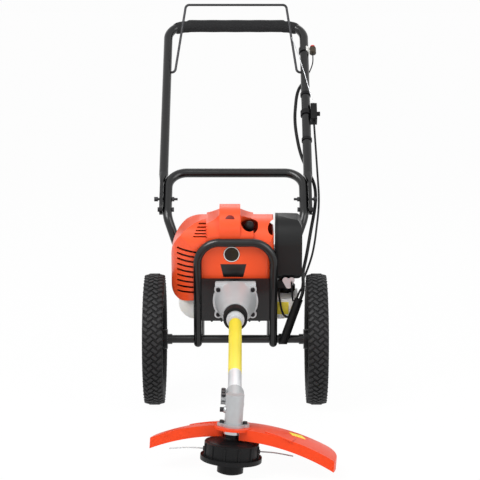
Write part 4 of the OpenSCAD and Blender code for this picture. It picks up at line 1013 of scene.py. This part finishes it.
@dataclass(frozen=True)
class Plate(Fitting):
    """A flat piece on the chassis, about its frame's middle."""

    size: Point  # its width, depth and height
    bevel: float  # the width of its bevels
    taper: float = 1.0  # the width of its near end as a share of the far end's

    def build(self) -> None:
        """Makes the block and keeps it."""
        piece = Bench.block(self.name, self.size, self.bevel, self.taper)
        piece.data.transform(self.place)
        Bench.tidy(piece)
        keep(piece, self.finish, self.slot)


@dataclass
class Trim:
    """The bare stickers, the gear case's side bolt, the head's cone and a dark sheet behind the cover's slots, partly a
    guessed heat shield and partly painted shade in the slots.
    """

    disc: Point = (-9.0, 8.0, 106.0)  # the round sticker's place on the engine: across, behind the engine plate and up
    plate: Point = (-5.0, 8.0, 67.0)  # the black sticker's place, given the same way
    patch: Point = (110.0, 18.0, -28.0)  # the yellow sticker's place on the tank
    shield: Point = (-101.0, 62.0, 10.5)  # the place of the dark sheet between the silencer and the tank, a guessed heat shield that is partly painted shade
    bolt: Point = (-18.0, 0.0, -12.0)  # the place of the side bolt, from the gears

    def build(self) -> None:
        """Makes every piece."""
        for piece in (*self._round(), *self._flat()):
            piece.build()

    def _round(self) -> List[Turned]:
        """The round pieces.

        Returns:
            The shaft's wrap, the disc with its ring, the bolt on its boss, and the cone.
        """
        shaft = LAYOUT.shaft() @ rotation(-QUARTER, "X")
        disc = LAYOUT.face(*self.disc)
        bolt = LAYOUT.head() @ move(*self.bolt) @ rotation(-QUARTER, "Y")
        wrap = ((14.02, 160.0), (14.25, 160.3), (14.25, 461.7), (14.02, 462.0))
        face = ((0, 0.5), (18.6, 0.5), (19.0, 0.1), (19.0, -0.4), (0, -0.4))
        ring = ((16.4, 0.4), (16.6, 0.62), (18.1, 0.62), (18.3, 0.4))
        boss = ((0, -3), (8.0, -3), (6.5, 0.6), (6.5, 2.5), (6.0, 3.0), (0, 3.0))
        head = ((0, 2.5), (4.8, 2.5), (4.8, 9.9), (4.2, 10.5), (2.4, 10.5), (2.4, 7.0), (0, 7.0))
        cone = (
            (14.0, -76.4), (14.0, -66.0), (16.0, -65.6), (17.6, -68.6), (20.0, -70.2), (28.0, -71.6), (42.0, -73.8),
            (47.5, -74.9), (48.5, -75.5), (48.5, -76.4), (14.0, -76.4),
        )
        return [
            Turned("shaft_wrap", shaft, "label_yellow", "orange_plastic", wrap),
            Turned("cover_disc", disc, "label_black", "black_plastic", face),
            Turned("cover_disc_ring", disc, "label_white", "white_plastic", ring),
            Turned("case_boss", bolt, "cast_alloy", "cast_alloy", boss, 48),
            Turned("case_bolt", bolt, "dark_steel", "dark_steel", head, 48),
            Turned("head_cap", LAYOUT.head(), "black_plastic", "black_plastic", cone, 96, "head"),
        ]

    def _flat(self) -> List[Plate]:
        """The flat pieces.

        Returns:
            The black plate, wider at its top, the yellow patch and the dark sheet behind the slots, which is partly
            painted shade.
        """
        plate, patch = LAYOUT.face(*self.plate), LAYOUT.face(*self.patch)
        shield = LAYOUT.engine() @ move(*self.shield)
        return [
            Plate("cover_plate", plate, "label_black", "black_plastic", (60.0, 31.0, 0.9), 0.3, 0.76),
            Plate("tank_patch", patch, "label_yellow", "orange_plastic", (26.0, 30.0, 0.6), 0.2),
            # painted shade: a dark sheet that darkens the cover's slots, placed as a guessed heat shield
            Plate("slot_shade_shield", shield, "dark_steel", "dark_steel", (82.0, 3.0, 36.0), 0.8),
        ]


@dataclass
class RecessShade:
    """The half-round recess on the cover's tongue, drawn as a thin dark red half-disc: painted shade of the recess."""

    across: float = -12.5  # its place across the engine
    size: Point = (21.0, 9.5, 1.2)  # its width, height and depth
    bevel: float = 0.25  # the width of its bevels
    # the middle of the tongue's arc behind the engine plate and up, and its radius
    tongue: Point = (52.0, 163.0, 44.0)
    slope: float = math.radians(34.0)  # the slope of the tongue at the recess
    sides: int = 64  # the number of sides of the whole round

    def build(self) -> None:
        """Cuts a disc in two and lays one half on the tongue."""
        Bench.clear()
        bpy.ops.mesh.primitive_cylinder_add(vertices=self.sides, radius=0.5, depth=1.0)
        recess = bpy.context.active_object
        recess.name = recess.data.name = "tongue_recess_shade"
        Bench.edit(recess)
        bpy.ops.mesh.bisect(plane_co=(0, 0, 0), plane_no=(0, 1, 0), use_fill=True, clear_inner=True)
        Bench.done()
        wide, high, deep = self.size
        recess.scale = (wide * MM, 2 * high * MM, deep * MM)
        bpy.ops.object.transform_apply(location=False, rotation=False, scale=True)
        Bench.soften(recess, self.bevel)
        behind, up, radius = self.tongue
        spot = (self.across, behind - radius * math.cos(self.slope), up + radius * math.sin(self.slope))
        recess.data.transform(LAYOUT.face(*spot) @ rotation(-self.slope, "X"))
        Bench.tidy(recess)
        # the dark red half-disc is painted shade standing for the hollow of the recess
        keep(recess, "recess_shade_red", "orange_plastic")


@dataclass
class GuardTrim:
    """The raised panels and the bare yellow patch on the guard's dome."""

    turn: float = math.radians(11.0)  # the guard's turn about the head
    middle: Point = (20.0, 0.0, -44.8)  # the dome's crest, from the gears
    radius: float = 430.0  # the dome's radius
    root: float = 0.8  # how far the pieces reach under the dome
    edge: float = 0.45  # the width of a piece's bevels as a share of its rise
    steps: Tuple[int, int] = (10, 12)  # the number of steps outwards and round
    # each one's name, finish, rise over the dome, start and end from the crest, first angle and width in degrees
    pieces: Tuple[Tuple[str, str, float, Pair, Pair], ...] = (
        ("guard_panel_0", "orange_guard", 1.8, (46.0, 104.0), (9.0, 22.0)),
        ("guard_panel_1", "orange_guard", 1.8, (70.0, 150.0), (146.0, 20.0)),
        ("guard_patch", "label_yellow", 0.8, (98.0, 126.0), (30.0, 13.0)),
    )

    def build(self) -> None:
        """Makes the panels and the patch."""
        for name, finish, rise, reach, fan in self.pieces:
            keep(self._sector(name, rise, reach, fan), finish, "orange_plastic")

    def _sector(self, name: str, rise: float, reach: Pair, fan: Pair) -> Piece:
        """Spins a strip of the dome's arc through part of a turn.

        Args:
            name: the piece's name.
            rise: how far it stands over the dome.
            reach: its start and end from the crest.
            fan: its first angle and its width, in degrees.

        Returns:
            The strip, on the dome.
        """
        outwards, around = self.steps
        radii = [reach[0] + (reach[1] - reach[0]) * k / outwards for k in range(outwards + 1)]
        top = [(r, math.sqrt((self.radius + rise) ** 2 - r**2) - self.radius) for r in radii]
        under = [(r, math.sqrt((self.radius - self.root) ** 2 - r**2) - self.radius) for r in reversed(radii)]
        dome = LAYOUT.head() @ rotation(-self.turn, "Z") @ move(*self.middle)
        place = dome @ rotation(math.radians(fan[0]), "Z")
        piece = Bench.lathe(name, [*top, *under, top[0]], place, around, math.radians(fan[1]))
        Bench.edit(piece)
        bpy.ops.mesh.select_all(action="DESELECT")
        bpy.ops.mesh.select_non_manifold()
        bpy.ops.mesh.fill_holes(sides=0)
        bpy.ops.mesh.select_all(action="SELECT")
        bpy.ops.mesh.normals_make_consistent(inside=False)
        bpy.ops.mesh.select_all(action="DESELECT")
        bpy.ops.mesh.edges_select_sharp(sharpness=SHARP)
        bpy.ops.mesh.bevel(offset=rise * self.edge * MM, segments=3, affect="EDGES")
        Bench.done()
        Bench.tidy(piece)
        return piece


@dataclass
class Cables:
    """The throttle cable and the stop lead, drawn as the soft lines that they are."""

    cable: float = 5.0  # the throttle cable's diameter
    lead: float = 8.0  # the stop lead's diameter in its sleeve
    bare: float = 3.0  # the stop lead's diameter before the sleeve
    tail: float = 4.0  # the diameter of the throttle cable's tail
    taper: float = 8.0  # the length over which the sleeve widens
    sleeve_start: int = 3  # the corner of the lead's route where the sleeve starts
    cut: float = 42.0  # how far from a corner of a route its rounding starts
    # the cable's corners beside the handle's right leg
    throttle_upper: Tuple[Point, ...] = ((19, 299, 0), (26, 40, -2), (11, -69, -43), (-5, -116, -59))
    # its corners from the handle down to the conduit
    throttle_lower: Tuple[Point, ...] = ((158, 70, 280), (155, 20, 268), (147.9, -22.4, 269.5), (139.6, -22, 247))
    # its corners from the conduit to the throttle lever
    throttle_tail: Tuple[Point, ...] = ((132.3, -22, 246), (130, -30, 262), (129, -28.8, 290))
    # the lead's corners beside the handle's right leg
    lead_upper: Tuple[Point, ...] = (
        (22, 533, 0), (22, 499.8, -8), (0, 455, -19), (-21, 410.1, -8), (-30, 300.1, 0), (-18, 205.1, -8),
        (0, 160.2, -19), (18, 110, -17), (18, 50.2, -17), (5, -16, -30), (-7, -86, -47),
    )
    # its corners from the handle down to the conduit
    lead_lower: Tuple[Point, ...] = ((158, 80, 296), (158, 30, 284), (155.9, -22.4, 266.6), (147.5, -22, 244.1))
    # its corners from the conduit to the engine
    lead_tail: Tuple[Point, ...] = ((120, -21, 207), (108, -22, 214), (100, -20, 258), (100, -10, 272))

    def build(self) -> None:
        """Makes both and their tails."""
        throttle = self._line(self.throttle_upper, self.throttle_lower)
        keep(Bench.tube("throttle_sheath", throttle, [self.cable]), "black_rubber", "black_rubber", "throttle_cable")
        lead = self._line(self.lead_upper, self.lead_lower)
        first = Route.length(self._line(self.lead_upper[: self.sleeve_start], ()))
        run, widths = 0.0, []
        for i, spot in enumerate(lead):
            run += (spot - lead[i - 1]).length if i else 0.0
            share = min(max((run - first) / (self.taper * MM), 0.0), 1.0)
            widths.append(self.bare + (self.lead - self.bare) * share)
        keep(Bench.tube("stop_lead_sleeve", lead, widths), "black_rubber", "black_rubber", "stop_lead")
        tails = (("throttle_tail", self.throttle_tail, self.tail), ("lead_tail", self.lead_tail, self.cable))
        for name, corners, width in tails:
            keep(Bench.tube(name, self._line((), corners), [width]), "black_rubber", "black_rubber")

    def _line(self, upper: Sequence[Point], lower: Sequence[Point]) -> List[Vector]:
        """A rounded route, in metres, through corners beside the handle's right leg and then from the axle line."""
        corners = [LAYOUT.beside_leg(p) for p in upper] + [LAYOUT.ground(p) for p in lower]
        return Route.rounded(corners, self.cut * MM)


@dataclass
class Wires:
    """The bare throttle wire and the starter rope."""

    wire: float = 1.6  # the throttle wire's diameter
    wire_top: Point = (141.5, 545.6, 46.5)  # its end on the bail's right arm, on the handle
    wire_foot: Point = (194.0, 359.5, 0.0)  # its end at the cable box, on the handle
    bow: float = 12.0  # how far it bows off the handle
    rope: float = 4.3  # the starter rope's diameter
    rope_at: Pair = (-46.0, 132.0)  # the rope's place on the engine, across and behind the plate
    rope_ends: Pair = (36.0, 64.0)  # its low end in the boss and its high end in the grip
    steps: Tuple[int, int] = (24, 48)  # the number of steps along the wire and along the rope
    sides: int = 12  # the number of their sides

    def build(self) -> None:
        """Makes both."""
        place = LAYOUT.handle()
        foot, top = place @ (Vector(self.wire_foot) * MM), place @ (Vector(self.wire_top) * MM)
        off = place.to_3x3() @ Vector((0.0, 0.0, self.bow * MM))
        shares = [[k / n for k in range(n + 1)] for n in self.steps]
        line = [foot.lerp(top, k) + off * math.sin(math.pi * k) for k in shares[0]]
        self._stretch("throttle_wire_strand", line, self.wire, "zinc_steel")
        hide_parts("throttle_wire")
        low, high = [LAYOUT.engine() @ (Vector((*self.rope_at, z)) * MM) for z in self.rope_ends]
        line = [low.lerp(high, k) for k in shares[1]]
        self._stretch("starter_rope", line, self.rope, "rope_braid")

    def _stretch(self, name: str, line: Sequence[Vector], width: float, finish: str) -> None:
        """Makes a strand along a line and bakes its place into its mesh.

        Args:
            name: the strand's name.
            line: its points, in metres.
            width: its diameter.
            finish: the finish's name.
        """
        strand = Bench.tube(name, line, [width], self.sides)
        dress(strand, finish)
        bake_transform(strand)
        LOG.info("%s: %d faces", name, len(strand.data.polygons))


def dress_solids() -> None:
    """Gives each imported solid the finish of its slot."""
    for part in frame["record"]["subparts"]:
        slot = part["material_slot"]
        finish = NODE_FINISH.get(part["node"], SLOT_FINISH.get(slot, slot))
        dress(frame["nodes"][part["node"]], finish)


def write_sizes() -> None:
    """Updates the view layer."""
    bpy.context.view_layer.update()


def main() -> None:
    """Builds the studio and every piece in order."""
    logging.basicConfig(level=logging.INFO, format="%(name)s: %(message)s")
    bpy.context.scene.view_settings.view_transform = "Standard"
    Studio().build()
    dress_solids()
    CuttingLines().build()
    for side in (-1, 1):
        Wheel(side).build()
    for assembly in (Grip(), Trim(), RecessShade(), GuardTrim(), Cables(), Wires()):
        assembly.build()
    write_sizes()


if __name__ == "__main__":
    main()
